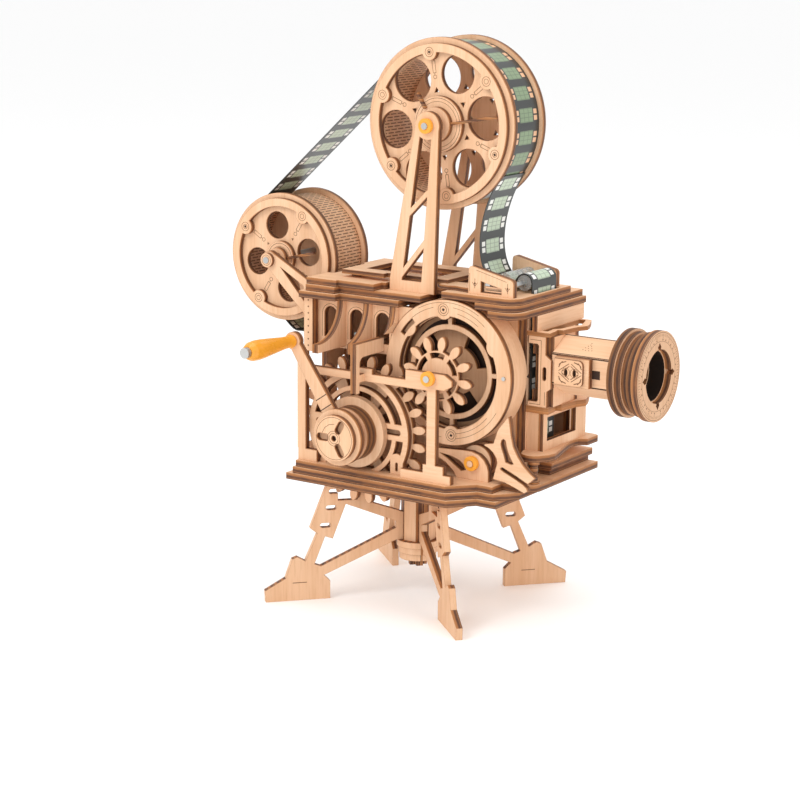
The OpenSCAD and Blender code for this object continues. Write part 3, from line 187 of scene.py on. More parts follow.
# --------------------------------------------------------------- plywood
FACE_LIGHT = srgb(234, 193, 157)
FACE_MID = srgb(224, 178, 139)
FACE_DARK = srgb(199, 147, 106)
SCORCH = srgb(150, 92, 50)
CHAR = srgb(168, 108, 60)
TOAST = srgb(196, 134, 80)
SLIT = srgb(118, 82, 56)
BORE_SHADE = srgb(34, 24, 19)
BARE_STEEL = (0.5, 0.5, 0.49)
# From the lit face inwards: a painted highlight on the bright corner, a toasted half, and a charred
# half with a pale layer
EDGE_BANDS = [(0.0, srgb(206, 152, 102)), (0.06, srgb(172, 116, 70)), (0.36, srgb(150, 98, 60)),
              (0.45, srgb(86, 56, 41)), (0.76, srgb(98, 64, 46)), (0.82, srgb(168, 120, 82)),
              (0.88, srgb(108, 70, 48)), (1.0, srgb(76, 49, 36))]


def plywood(name, square_to, start, layer, grain, turn=0.0, tone=1.0, seed=0.0, overlay=None):
    """Birch plywood: pale veneer on faces square to an axis, burnt layers on the cut edges.

    The sheet starts at start along the axis and has three layers, in millimetres.
    """
    mat, tree, shader = new_material("ply_" + name)
    where, normal = place_of(tree), place_of(tree, "Normal")
    if turn:
        back = {"Rotation": (0, 0, -turn)}
        where = add(tree, "Mapping", {"Vector": where, **back}, vector_type="POINT")
        normal = add(tree, "Mapping", {"Vector": normal, **back}, vector_type="NORMAL")
    shift = add(tree, "VectorMath", {0: where, 1: (seed * 0.37, seed * 0.21, seed * 0.53)},
                operation="ADD")
    stretch = {"x": (4, 60, 60), "y": (60, 4, 60), "z": (60, 60, 4)}[grain]
    fibres = add(tree, "Mapping", {"Vector": shift, "Scale": stretch})
    fine = noise(tree, fibres, 18.0, 5.0, 0.62)
    broad = noise(tree, fibres, 2.6, 2.0, 0.5)
    patch = noise(tree, shift, 26.0, 2.0, 0.5)
    veneer = ramp(tree, broad, [(0.30, FACE_MID), (0.62, FACE_LIGHT)])
    streak = times(tree, minus(tree, fine, 0.46, True), 2.6, True)
    veneer = mix_colour(tree, times(tree, streak, 0.55), veneer, FACE_DARK)
    veneer = mix_colour(tree, times(tree, patch, 0.22), veneer, FACE_MID)
    if tone != 1.0:
        veneer = mix_colour(tree, 1.0, veneer, (tone, tone ** 1.2, tone ** 1.4), "MULTIPLY")
    axes = ["xyz".index(axis) for axis in ("y" if square_to == "every" else square_to)]
    facing = parts_of(tree, normal)
    face, *others = (above(tree, absolute(tree, facing[axis]), 0.75) for axis in axes)
    for other in others:
        face = either(tree, face, other)
    depth = divide(tree, minus(tree, parts_of(tree, where)[axes[0]], start * MM),
                   3 * (layer * MM))
    within = fraction(tree, depth)
    wobble = times(tree, minus(tree, noise(tree, shift, 260.0), 0.5), 0.16)
    within = plus(tree, within, wobble)
    # on flat sheets the bands are turned so that the painted highlight stays on the upper corner
    upside_down = [(1 - at, colour) for at, colour in reversed(EDGE_BANDS)]
    burn_and_highlight = ramp(tree, within, upside_down if square_to[0] == "z" else EDGE_BANDS)
    char = times(tree, minus(tree, noise(tree, shift, 90.0), 0.45, True), 1.3, True)
    burn_and_highlight = mix_colour(tree, char, burn_and_highlight, CHAR)
    # scorch along every cut edge of the face, from a rounded normal
    rounded = add(tree, "Bevel", {"Radius": 0.45 * MM}, samples=4)
    flat = add(tree, "NewGeometry", {}).node.outputs["True Normal"]
    lean = add(tree, "VectorMath", {0: rounded, 1: flat}, operation="DOT_PRODUCT")
    scorch = times(tree, minus(tree, 0.995, lean.node.outputs["Value"], True), 9.0, True)
    veneer = mix_colour(tree, times(tree, scorch, 0.75), veneer, SCORCH)
    if square_to == "every":
        face = 1.0
    colour = mix_colour(tree, face, burn_and_highlight, veneer)
    if overlay:
        colour = overlay(tree, shader, colour, veneer, face)
    wire(tree, shader, {
        "Base Color": colour, "Roughness": plus(tree, 0.50, times(tree, fine, 0.22)),
        "Specular IOR Level": 0.32,
        "Normal": bumped(tree, plus(tree, fine, times(tree, within, 0.4)), 0.12, 0.06 * MM)})
    return mat


def kerfed(x, z, wall_r, rod_r=1.62 * MM):
    """Rows of short slits on a bent wall, and bare steel near the axis."""
    def overlay(tree, shader, colour, veneer, face):
        angle, depth, radius = polar(tree, x, z)
        rows = times(tree, angle, round(math.tau * wall_r / (1.45 * MM)) / math.tau)
        # the rows are counted from far below zero, so that odd and even alternate all round
        odd = times(tree, modulo(tree, plus(tree, rounded_down(tree, rows), 1000.0), 2.0), 0.5)
        dash = fraction(tree, plus(tree, divide(tree, depth, 5.4 * MM), odd))
        slit = times(tree, below(tree, fraction(tree, rows), 0.34), below(tree, dash, 0.80))
        wall = mix_colour(tree, slit, mix_colour(tree, 0.3, veneer, FACE_DARK), SLIT)
        on_wall = times(tree, above(tree, radius, wall_r - 2.4 * MM), minus(tree, 1.0, face))
        colour = mix_colour(tree, on_wall, colour, wall)
        bare = below(tree, radius, rod_r)
        wire(tree, shader, {"Metallic": bare})
        return mix_colour(tree, bare, colour, BARE_STEEL)
    return overlay


def shaded(x, z, dark_r, light_r, dark=0.58):
    """Painted shade on the stack's cut edges near an axis, and a lighter rim outside light_r."""
    def overlay(tree, shader, colour, veneer, face):
        radius = polar(tree, x, z)[2]
        edge = minus(tree, 1.0, face)
        deep = times(tree, edge, below(tree, radius, dark_r))
        shade = (dark, dark * 0.96, dark * 0.92)
        colour = mix_colour(tree, deep, colour, mix_colour(tree, 1.0, colour, shade, "MULTIPLY"))
        rim = times(tree, edge, above(tree, radius, light_r))
        return mix_colour(tree, times(tree, rim, 0.62), colour, veneer)
    return overlay


def toasted(tree, shader, colour, veneer, face):
    """Cut edges more toasted than charred."""
    return mix_colour(tree, times(tree, minus(tree, 1.0, face), 0.5), colour, TOAST)


def bored(y, z, bore_r, dark=0.52):
    """Painted shade on a stack of rings round an axis along X, nearly black inside its bore."""
    def overlay(tree, shader, colour, veneer, face):
        edge = minus(tree, 1.0, face)
        shade = (dark, dark * 0.95, dark * 0.9)
        colour = mix_colour(tree, edge, colour, mix_colour(tree, 1.0, colour, shade, "MULTIPLY"))
        inside = below(tree, polar(tree, y, z, 0)[2], bore_r)
        return mix_colour(tree, inside, colour, BORE_SHADE)
    return overlay


def paint(names, material):
    """Gives CAD nodes their material."""
    for name in names.split():
        nodes[name].data.materials.clear()
        nodes[name].data.materials.append(material)


# Where each sheet square to Y starts
y_plates = {
    "wall_arcade": -17.7, "wall_front": WALL_FACE, "wall_back": 41.3, "corner_frame": -32.9,
    "bridge": -32.9, "gear_guard": -29.9, "ring_front": COVER_FACE, "ring_rim": RIM_FACE,
    "ring_spokes": RIM_FACE, "shutter": SHUTTER_FACE, "gear_small": GEAR_FACE,
    "gear_large": GEAR_FACE, "crank_face": -48.6, "crank_drum": -40.1, "crank_arm": -43.1,
    "idler_cover": COVER_FACE, "idler_wheel": -15.05, "side_bracket": COVER_FACE,
    "reel_supports": -13, "reel_arms": -13, "upper_reel_front": -4.4, "upper_reel_back": 22.3,
    "upper_reel_core": -4.4, "lower_reel_front": -4.4, "lower_reel_back": 22.3,
    "lower_reel_drum": -4.4, "guide_plates": -2.4,
}
thin = "upper_reel", "lower_reel", "crank_face"
level = "bridge", "gear_guard", "wall_back", "side_bracket"
# darker tones, painted shade on parts that lie in shade inside the frame: the shutter, the front
# and back walls, and the spokes a little
shade_tones = {"ring_spokes": 0.97, "shutter": 0.62, "wall_front": 0.8, "wall_back": 0.9}
overlays = {"upper_reel_core": kerfed(upper_x, upper_z, 33 * MM),
            "lower_reel_drum": kerfed(lower_x, lower_z, 27.6 * MM),
            "crank_drum": shaded(crank_x, crank_z, 12.6 * MM, 15.6 * MM),
            "gate_ledges": toasted, "lens_stack": bored(LENS_Y * MM, LENS_Z * MM, 11.2 * MM)}
for seed, (name, start) in enumerate(y_plates.items(), 1):
    paint(name, plywood(name, "every" if name == "ring_rim" else "y", start,
                        REEL_LAYER if name.startswith(thin) else 1,
                        "x" if name in level else "z", tone=shade_tones.get(name, 1.0), seed=seed,
                        overlay=overlays.get(name)))
for seed, (name, start) in enumerate({
        "base_lower": 54.5, "base_middle": 57.5, "base_upper": 60.5, "base_step": BASE_TOP,
        "deck_lower": 137, "deck_middle": 140, "deck_upper": 143, "gate_ledges": 127.9}.items(),
                                     30):
    paint(name, plywood(name, "z", start, 1, "x", seed=seed, overlay=overlays.get(name)))
for seed, (name, start) in enumerate({
        "wall_left": -44.2, "wall_right": 53.9, "wall_ribs": -31.45, "crank_bracket": -10.8,
        "lens_stack": 100, "lens_face": LENS_FACE - PLY}.items(), 50):
    paint(name, plywood(name, "x", start, 1, "z", seed=seed, overlay=overlays.get(name),
                        tone=0.82 if name == "lens_face" else 1))
for name in ("legs_left", "legs_right"):
    paint(name, plywood(name, "xy", -1.5, 1, "z", turn=LEG_TURN, tone=0.9, seed=70 + len(name)))
paint("stand_hub", plywood("stand_hub", "xy", 0, 1, "z", seed=81))
paint("lens_barrel", plywood("lens_barrel", "yz", -1.5, 1, "x", seed=85))
paint("focus_slider", plywood("focus_slider", "y", -3.4, 1, "x", seed=87))
paint("lower_reel_knobs", plywood("lower_reel_knobs", "y", -15, 0.6, "z", seed=91))


# -------------------------------------------------- metal, caps and glass
def plain_finish(name, colour, rough, metal=0.0, speck=0.0, scale=300.0):
    """One colour with darker specks, for steel, caps and burnt lines."""
    mat, tree, shader = new_material(name)
    grain = noise(tree, place_of(tree), scale, 4.0)
    dark = tuple(c * 0.55 for c in colour)
    wire(tree, shader, {
        "Base Color": mix_colour(tree, times(tree, grain, speck), colour, dark),
        "Roughness": plus(tree, rough - 0.06, times(tree, grain, 0.12)), "Metallic": metal,
        "Normal": bumped(tree, grain, 0.08, 0.05 * MM)})
    return mat


def see_through(name, colour, rough, passed, bend):
    """Clear plastic or glass: how much light is passed, and its index of refraction."""
    mat, tree, shader = new_material(name)
    wire(tree, shader, {"Base Color": (*colour, 1), "Roughness": rough,
                        "Transmission Weight": passed, "IOR": bend})
    return mat


steel = plain_finish("steel_rod", (0.55, 0.55, 0.54), 0.34, 1.0, 0.15, 500.0)
paint("shutter_shaft crank_shaft handle_pin", steel)
paint("shutter_knob idler_knob upper_reel_knobs",
      plain_finish("rubber_cap_orange", srgb(245, 166, 52), 0.42, 0.0, 0.25, 260.0))
paint("handle_grip", plain_finish("lacquered_grip", srgb(238, 160, 45), 0.26, 0.0, 0.35, 120.0))
paint("guide_roller film_roller",
      see_through("clear_roller", (0.86, 0.88, 0.86), 0.12, 0.75, 1.3))
paint("lens_glass", see_through("lens_glass", (0.75, 0.85, 0.88), 0.03, 0.9, 1.45))


# ------------------------------------------------------------------ film
FILM_DARK = srgb(52, 55, 54)
FRAME_GREEN = srgb(134, 154, 120)
FRAME_PALE = srgb(196, 212, 186)
HOLE_TAN = srgb(222, 176, 138)
HOLE_WHITE = srgb(236, 236, 230)
FRAME_PITCH = 9.8 * MM
FILM_MIDDLE = LENS_Y * MM
WOUND_R = 36 * MM
FILM_T = 0.4 * MM
DRUM_R = 27.9 * MM
ROLLER_R = 3.8 * MM


def film(along, across, tree, shader, frame_colour, hole_colour):
    """Dark strip with pale picture frames and sprocket holes, from lengths along and across."""
    cell = minus(tree, fraction(tree, divide(tree, along, FRAME_PITCH)), 0.5)
    height = absolute(tree, cell)
    side = absolute(tree, across)

    picture = times(tree, below(tree, height, 0.315), below(tree, side, 5.5 * MM))
    rows = absolute(tree, minus(tree, fraction(tree, times(tree, cell, 5.2)), 0.5))
    columns = absolute(tree, minus(tree, fraction(tree, divide(tree, across, 3.6 * MM)), 0.5))
    drawn = either(tree, below(tree, rows, 0.07), below(tree, columns, 0.06))
    holes = times(tree, times(tree, below(tree, height, 0.25), above(tree, height, 0.035)),
                  times(tree, above(tree, side, 6.2 * MM), below(tree, side, 8.9 * MM)))
    cloud = noise(tree, place_of(tree), 160.0)
    clouded = tuple(c * 0.62 for c in frame_colour)
    tint = mix_colour(tree, times(tree, cloud, 0.5), frame_colour, clouded)
    tint = mix_colour(tree, times(tree, drawn, 0.45), tint, FILM_DARK)
    colour = mix_colour(tree, picture, FILM_DARK, tint)
    colour = mix_colour(tree, holes, colour, hole_colour)
    wire(tree, shader, {"Base Color": colour, "Roughness": 0.3, "Specular IOR Level": 0.45})


film_coil, film_tree, film_shader = new_material("film_wound_on_reel")
turn_angle, depth_y, _ = polar(film_tree, upper_x, upper_z)
film(times(film_tree, turn_angle, 23 * FRAME_PITCH / math.tau),
     minus(film_tree, depth_y, FILM_MIDDLE), film_tree, film_shader, FRAME_GREEN, HOLE_TAN)
paint("film_wound", film_coil)

film_free, film_tree, film_shader = new_material("film_run_free")
unwrapped = parts_of(film_tree, add(film_tree, "UVMap", {}, uv_map="UVMap"))
film(unwrapped[0], unwrapped[1], film_tree, film_shader, FRAME_PALE, HOLE_WHITE)


def clear_selection():
    """Object mode with nothing selected."""
    if bpy.context.mode != "OBJECT":
        bpy.ops.object.mode_set(mode="OBJECT")
    bpy.ops.object.select_all(action="DESELECT")


def film_strip(name, path, width=20.9 * MM, thick=0.35 * MM):
    """Strip of film along a path in X and Z, centred on the film's plane."""
    clear_selection()
    steps = len(path) - 1
    bpy.ops.mesh.primitive_grid_add(x_subdivisions=steps, y_subdivisions=2, size=2)
    strip = bpy.context.object
    strip.name = name
    length = [0.0]
    for a, b in zip(path, path[1:]):
        length.append(length[-1] + math.dist(a, b))
    spots = {}
    for vert in strip.data.vertices:
        step = round((vert.co.x + 1) / 2 * steps)
        spots[vert.index] = (length[step], vert.co.y * width / 2)
        vert.co = (path[step][0], FILM_MIDDLE + vert.co.y * width / 2, path[step][1])
    for loop in strip.data.loops:
        strip.data.uv_layers[0].data[loop.index].uv = spots[loop.vertex_index]
    strip.data.uv_layers[0].name = "UVMap"
    body = strip.modifiers.new("thickness", "SOLIDIFY")
    body.thickness = thick
    body.offset = 0
    bpy.ops.object.modifier_apply(modifier="thickness")
    bpy.ops.object.shade_smooth_by_angle(angle=math.radians(35))
    strip.data.materials.append(film_free)
    return strip


def eased(points, fine=4):
    """More points on a smooth line through the given ones."""
    line = []
    for i in range(len(points) - 1):
        p0, p1, p2, p3 = (Vector(points[max(0, min(len(points) - 1, i + k))])
                          for k in (-1, 0, 1, 2))
        for k in range(fine):
            t = k / fine
            line.append(tuple(0.5 * (
                2 * p1 + (p2 - p0) * t + (2 * p0 - 5 * p1 + 4 * p2 - p3) * t * t
                + (3 * p1 - p0 - 3 * p2 + p3) * t ** 3)))
    line.append(tuple(points[-1]))
    return line


def ray(radius, degrees, u=0, v=0):
    """Place at a radius and an angle from another place."""
    turn = math.radians(degrees)
    return u + radius * math.cos(turn), v + radius * math.sin(turn)


# Take-up run: off the upper reel, round the lower one and into the slot of the left wall
wrap_r = DRUM_R + FILM_T / 2
run_r = WOUND_R + 0.3 * MM + FILM_T / 2
span = math.dist((upper_x, upper_z), (lower_x, lower_z))
slope = math.degrees(math.atan2(upper_z - lower_z, upper_x - lower_x))
leave = slope + math.degrees(math.acos((wrap_r - run_r) / span))
take_up = [ray(run_r, leave, upper_x, upper_z)]
take_up += [ray(wrap_r, leave + (262 - leave) * i / 30, lower_x, lower_z) for i in range(31)]
slot_z = BASE_TOP * MM + 50.5 * MM + 1.2 * MM
low_z = lower_z - wrap_r
for share_x, share_z in ((0.12, 0.1), (0.3, 0.02), (0.6, 0), (1.15, 0)):
    take_up.append((lower_x + share_x * 31.6 * MM, slot_z + share_z * (low_z - slot_z)))
take_up = take_up[:1] + take_up[1:29] + eased(take_up[29:])
film_back = film_strip("film_take_up", take_up)

# Feed run: off the upper reel, over the two rollers and down into the gate
roll_x, roll_z = joint_place("roller_a_turn")
over_x, over_z = joint_place("roller_b_turn")
roller_r = ROLLER_R + FILM_T / 2
start = ray(run_r, 324, upper_x, upper_z)
arrive = ray(roller_r, 260, roll_x, roll_z)
pull = ray(22 * MM, 324 - 90, *start)
lead = ray(17.4 * MM, 260 - 90, *arrive)
feed = []
for i in range(29):
    t = i / 28
    feed.append(tuple(
        (1 - t) ** 3 * p + 3 * t * (1 - t) ** 2 * q + 3 * t * t * (1 - t) * r + t ** 3 * s
        for p, q, r, s in zip(start, pull, lead, arrive)))
feed += [ray(roller_r, a, roll_x, roll_z) for a in (-80, -60, -40)]
feed += [ray(roller_r, a, over_x, over_z) for a in range(140, -1, -14)]
feed += [(57.35 * MM, DECK_TOP * MM), (57.35 * MM, 96.5 * MM)]
film_feed = film_strip("film_feed", feed)
gate_fall = [(57.85 * MM, (98 - 2 * i) * MM) for i in range(18)]
film_fall = film_strip("film_below_gate", gate_fall)
for strip in (film_back, film_feed, film_fall):
    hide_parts("film_runs")
    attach(strip, "frame")


# -------------------------------------------------------------- engraving
burn_line = plain_finish("laser_line", srgb(126, 86, 56), 0.8, 0.0, 0.5, 900.0)
# dark marks: burnt seams and lines, and painted shade in holes and inside the housing
dark_burn_and_shade = plain_finish("laser_burn_and_shade", srgb(58, 38, 26), 0.85, 0.0, 0.4, 900.0)
MARK_T = 0.07 * MM
LINE = 0.22  # usual width of a burnt line, in millimetres


def thicken(step):
    """Gives the flat face being edited its thickness."""
    bpy.ops.mesh.select_all(action="SELECT")
    bpy.ops.mesh.extrude_region_move(TRANSFORM_OT_translate={"value": step})
    bpy.ops.mesh.select_all(action="SELECT")
    bpy.ops.mesh.normals_make_consistent(inside=False)
    bpy.ops.object.mode_set(mode="OBJECT")


def joined(pieces, name, mat):
    """One named object made of several, with its material."""
    clear_selection()
    for piece in pieces:
        piece.select_set(True)
    bpy.context.view_layer.objects.active = pieces[0]
    if len(pieces) > 1:
        bpy.ops.object.join()
    whole = bpy.context.view_layer.objects.active
    whole.name = name
    whole.data.materials.clear()
    whole.data.materials.append(mat)
    return whole


def mark_mesh(piece):
    """Mesh of a flat mark being edited, with its thickness."""
    thicken((0, 0, MARK_T))
    mesh = piece.data.copy()
    bpy.data.objects.remove(piece, do_unlink=True)
    return mesh


# Each size of mark is modelled once and then copied
@functools.cache
def ring_mark(radius, width, first=0, last=360):
    """Ring or arc, in millimetres and degrees."""
    radius, width = radius * MM, width * MM
    clear_selection()
    count = max(12, min(72, int(radius / (0.28 * MM))))
    bpy.ops.mesh.primitive_circle_add(vertices=count, radius=radius - width / 2)
    piece = bpy.context.object
    if last - first < 360:
        for vert in piece.data.vertices:
            angle = math.degrees(math.atan2(vert.co.y, vert.co.x))
            vert.select = (angle - first) % 360 > last - first + 0.01
        for edge in piece.data.edges:
            edge.select = False
        bpy.ops.object.mode_set(mode="EDIT")
        bpy.ops.mesh.delete(type="VERT")
    else:
        bpy.ops.object.mode_set(mode="EDIT")
    bpy.ops.mesh.select_all(action="SELECT")
    bpy.ops.mesh.extrude_region_move()
    grow = (radius + width / 2) / (radius - width / 2)
    bpy.ops.transform.resize(value=(grow, grow, 1), center_override=(0, 0, 0))
    return mark_mesh(piece)


@functools.cache
def bar_mark(length, width):
    """Straight line, in millimetres."""
    clear_selection()
    bpy.ops.mesh.primitive_plane_add(size=1)
    piece = bpy.context.object
    bpy.ops.object.mode_set(mode="EDIT")
    bpy.ops.transform.resize(value=(length * MM, width * MM, 1))
    return mark_mesh(piece)


@functools.cache
def dot_mark(radius, sides):
    """Filled dot with few or many sides, in millimetres."""
    clear_selection()
    bpy.ops.mesh.primitive_circle_add(vertices=sides, radius=radius * MM, fill_type="NGON")
    piece = bpy.context.object
    bpy.ops.object.mode_set(mode="EDIT")
    return mark_mesh(piece)


PLANES = {"front": ((1, 0, 0), (0, 0, 1)), "back": ((-1, 0, 0), (0, 0, 1)),
          "right": ((0, 1, 0), (0, 0, 1))}


def engrave(name, origin, shapes, mat=burn_line, body="frame", side="front",
            sunk=0.04):
    """Thin burnt lines on a flat face, in millimetres.

    A shape is ("ring", u, v, radius, width, first and last degree), ("bar", u, v, length, width,
    turn) or ("dot", u, v, radius, sides, turn), with u and v across and up the face.
    """
    across, up = (Vector(axis) for axis in PLANES[side])
    out = across.cross(up)
    pieces = []
    for kind, u, v, *sizes in shapes:
        if kind == "ring":
            mesh, turn = ring_mark(*sizes).copy(), 0
        else:
            mesh = (bar_mark if kind == "bar" else dot_mark)(*sizes[:2]).copy()
            turn = math.radians(sizes[2]) if len(sizes) > 2 else 0
        axes = Matrix((across, up, out)).transposed().to_4x4()
        axes.translation = (Vector([c * MM for c in origin]) + across * (u * MM) + up * (v * MM)
                            - out * (sunk * MM))
        mesh.transform(axes @ Matrix.Rotation(turn, 4, "Z"))
        piece = bpy.data.objects.new(name + "_line", mesh)
        bpy.context.scene.collection.objects.link(piece)
        pieces.append(piece)
    whole = joined(pieces, name, mat)
    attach(whole, body)


def outline(u, v, length, width, turn, line):
    """Four bars round a rectangle."""
    c, s = math.cos(math.radians(turn)), math.sin(math.radians(turn))
    bars = []
    for dx, dy, size, more in ((0, width / 2, length, 0), (0, -width / 2, length, 0),
                               (length / 2, 0, width, 90), (-length / 2, 0, width, 90)):
        bars.append(("bar", u + dx * c - dy * s, v + dx * s + dy * c, size + line, line,
                     turn + more))
    return bars


def reel_marks(name, body, x, z, first, step, boss_r, faces, rect_at, rect_l, dot_at, hub_r,
               wedge_at):
    """Rings on the bosses and the hub, and a rectangle, a bar and a ring on each spoke."""
    count = round(360 / step)
    for side, flange_y, boss_y in faces:
        flip = 1 if side == "front" else -1
        on_boss, on_flange, holes = [], [], []
        for i in range(count):
            a = first + i * step
            if flip < 0:
                a = 180 - a
            u, v = ray(boss_r, a)
            on_boss += [("ring", u, v, 2.1, LINE), ("ring", u, v, 1.1, LINE)]
            # dark squares for holes on every other boss, painted shade
            if i % 2:
                holes.append(("dot", u, v, 0.75, 4, a))
            u, v = ray(rect_at, a)
            on_flange += outline(u, v, rect_l, 1.5, a, LINE)
            u, v = ray(dot_at, a)
            on_flange.append(("ring", u, v, 0.85, LINE))
            u, v = ray((rect_at - rect_l / 2 + dot_at + 0.85) / 2, a)
            on_flange.append(("bar", u, v, rect_at - rect_l / 2 - dot_at - 0.85, LINE, a))
            if wedge_at:
                u, v = ray(wedge_at, a)
                on_flange.append(("dot", u, v, 0.8, 3, a))
        on_boss.append(("ring", 0, 0, hub_r - 0.9, LINE))
        on_boss.append(("ring", 0, 0, hub_r - 2.4, LINE * 0.8))
        engrave(name + "_boss_lines_" + side, (x, boss_y, z), on_boss, body=body, side=side)
        engrave(name + "_flange_lines_" + side, (x, flange_y, z), on_flange, body=body, side=side)
        engrave(name + "_boss_holes_" + side, (x, boss_y, z), holes, dark_burn_and_shade, body=body,
                side=side, sunk=0.03)


reel_faces = (("front", -1.9, -4.4), ("back", 24.8, 27.3))
reel_marks("upper_reel", "upper_reel", upper_x / MM, upper_z / MM, 39, 60, 31.6, reel_faces,
           25.0, 5.2, 20.6, 12.4, 0)
reel_marks("lower_reel", "lower_reel", lower_x / MM, lower_z / MM, 58, 90, 24.0, reel_faces,
           17.6, 4.6, 13.4, 7.6, 10.3)
engrave("arm_head_lines", (lower_x / MM, -15.0, lower_z / MM), [("ring", 0, 0, 2.5, LINE)])


# ------------------------------------ pieces traced closer to the photo
def plate(name, axis, start, thick, loops, mat=None, body="frame", instead=None):
    """Flat plate square to an axis: its outline and its holes, in millimetres.

    It may stand instead of a CAD node, whose plywood it then has unless mat is given.
    """
    clear_selection()
    rims = []
    for loop in loops:
        bpy.ops.mesh.primitive_circle_add(vertices=len(loop), radius=1)
        rim = bpy.context.object
        for vert, (u, v) in zip(rim.data.vertices, loop):
            u, v, w = u * MM, v * MM, start * MM
            vert.co = {"x": (w, u, v), "y": (u, w, v), "z": (u, v, w)}[axis]
        rims.append(rim)
    whole = joined(rims, name, mat or bpy.data.materials["ply_" + instead])
    bpy.ops.object.mode_set(mode="EDIT")
    bpy.ops.mesh.select_all(action="SELECT")
    bpy.ops.mesh.fill()
    step = [0, 0, 0]
    step["xyz".index(axis)] = thick * MM
    thicken(step)
    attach(whole, body)
    if instead:
        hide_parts(instead)


def disc(u, v, radius, count=32):
    """Points of a circle."""
    return [ray(radius, 360 * i / count, u, v) for i in range(count)]


def corner(u, v, radius, first, last, count=8):
    """Points of an arc."""
    return [ray(radius, first + (last - first) * i / count, u, v) for i in range(count + 1)]


def box(left, low, right, high):
    """Points of a rectangle."""
    return [(left, low), (right, low), (right, high), (left, high)]


def arc_slot(x, z, outer, inner, first, last):
    """Outline of a slot between two arcs."""
    return corner(x, z, outer, first, last, 10) + corner(x, z, inner, last, first, 10)


# Shares of a petal's height and of its half width, from its root to its tip
PETAL = ((0, 0.6), (0.1, 0.66), (0.22, 0.84), (0.35, 0.97), (0.5, 1), (0.63, 0.97), (0.76, 0.82),
         (0.87, 0.61), (0.95, 0.38), (0.99, 0.16))


def petal_gear(x, z, count, root, tip, half, turn):
    """Outline of a gear with petal-shaped teeth, each half wide on either side."""
    loop = []
    for i in range(count):
        a = math.radians(turn + 360 * i / count)
        for share, wide in [(s, -w) for s, w in PETAL] + [(s, w) for s, w in reversed(PETAL)]:
            radius, off = root + (tip - root) * share, half * wide
            loop.append((x + radius * math.cos(a) - off * math.sin(a),
                         z + radius * math.sin(a) + off * math.cos(a)))
        loop.append(ray(root, turn + 360 * (i + 0.5) / count, x, z))
    return loop


# Deck, with the film's way through it
FILM_HOLE = box(57, 0.6, 59, 22.3)
plate("deck_top_plate", "z", 143, PLY, [
    [(-44.2, 29.8), (-44.2, -5.5), (-47.4, -5.5), (-47.4, -22.3), (-31, -22.3), (-31, -20.8),
     (-11.6, -20.8), (-11.6, -14), (-9.8, -14), (-9.8, -9.9), (22.6, -9.9), (22.6, -18)]
    + corner(53.5, -11, 7, -90, 0) + [(60.5, 29.8)], FILM_HOLE], instead="deck_upper")
plate("deck_middle_plate", "z", 140, PLY, [
    [(-46.4, 27.6), (-46.9, 27.6), (-46.9, 40.8), (60.5, 40.8)] + corner(53.5, -11.3, 7, 0, -90)
    + [(40, -18.3), (40, -4.4), (12.6, -4.4), (12.6, -19.7), (-31, -19.7), (-31, -23.6),
       (-46.9, -23.6), (-46.9, -4.7), (-46.4, -4.7)], FILM_HOLE],
      instead="deck_middle")
plate("deck_lower_plate", "z", 137, PLY, [
    [(-47.3, 27.6), (-49.7, 27.6), (-49.7, 41.5), (62, 41.5)] + corner(54.5, -11.4, 7.5, 0, -90)
    + [(47, -18.9), (47, -4.5), (2, -4.5), (2, -21.2), (-29.5, -21.2), (-29.5, -25.1),
       (-49.7, -25.1), (-49.7, -4.7), (-47.3, -4.7)],
    FILM_HOLE], instead="deck_lower")

# Film guide on the deck
GUIDE_FACE = -14.7
guide_ply = plywood("guide_front", "y", GUIDE_FACE, 1, "z", seed=71)
guide_edge = ([(34.3, DECK_TOP), (57.2, DECK_TOP)] + corner(55.2, 151.9, 2, 0, 76)
              + corner(36.2, 156.5, 1.7, 76, 180))
guide_window = [(40.7, 147), (51.3, 147), (51.3, 149.5), (40.7, 152)]
plate("guide_plate_front", "y", GUIDE_FACE, PLY, [guide_edge, guide_window], guide_ply,
      instead="guide_plates")
plate("guide_plate_back", "y", 22.3, PLY, [guide_edge], instead="guide_plates")
for count, (low, high) in enumerate(((147.4, 148.1), (149, 149.8))):
    plate("guide_window_slat_" + str(count + 1), "y", -13.6, 1.2, [box(42.4, low, 52, high)],
          guide_ply)
for count, x in enumerate((43.3, 53.35)):
    plate("guide_axle_" + "ab"[count], "y", -13.2, 12.6, [disc(x, 150.3, 1.2, 20)], steel,
          body=("roller_a", "roller_b")[count])
arrows = []
for x, z in ((37.7, 150.7), (54.3, 149.9)):
    arrows += [("bar", x, z, 4.4, LINE, 90), ("dot", x, z, 0.6, 4, 0)]
    for flip in (-1, 1):
        arrows.append(("bar", x + flip * 0.7, z - 0.4, 2, LINE, 90 - flip * 38))
arrows += [("bar", 46, 154.7, 16, LINE * 0.8, -14), ("bar", 35, 151, 8, LINE * 0.8, 90)]
engrave("guide_plate_lines", (0, GUIDE_FACE, 0), arrows)

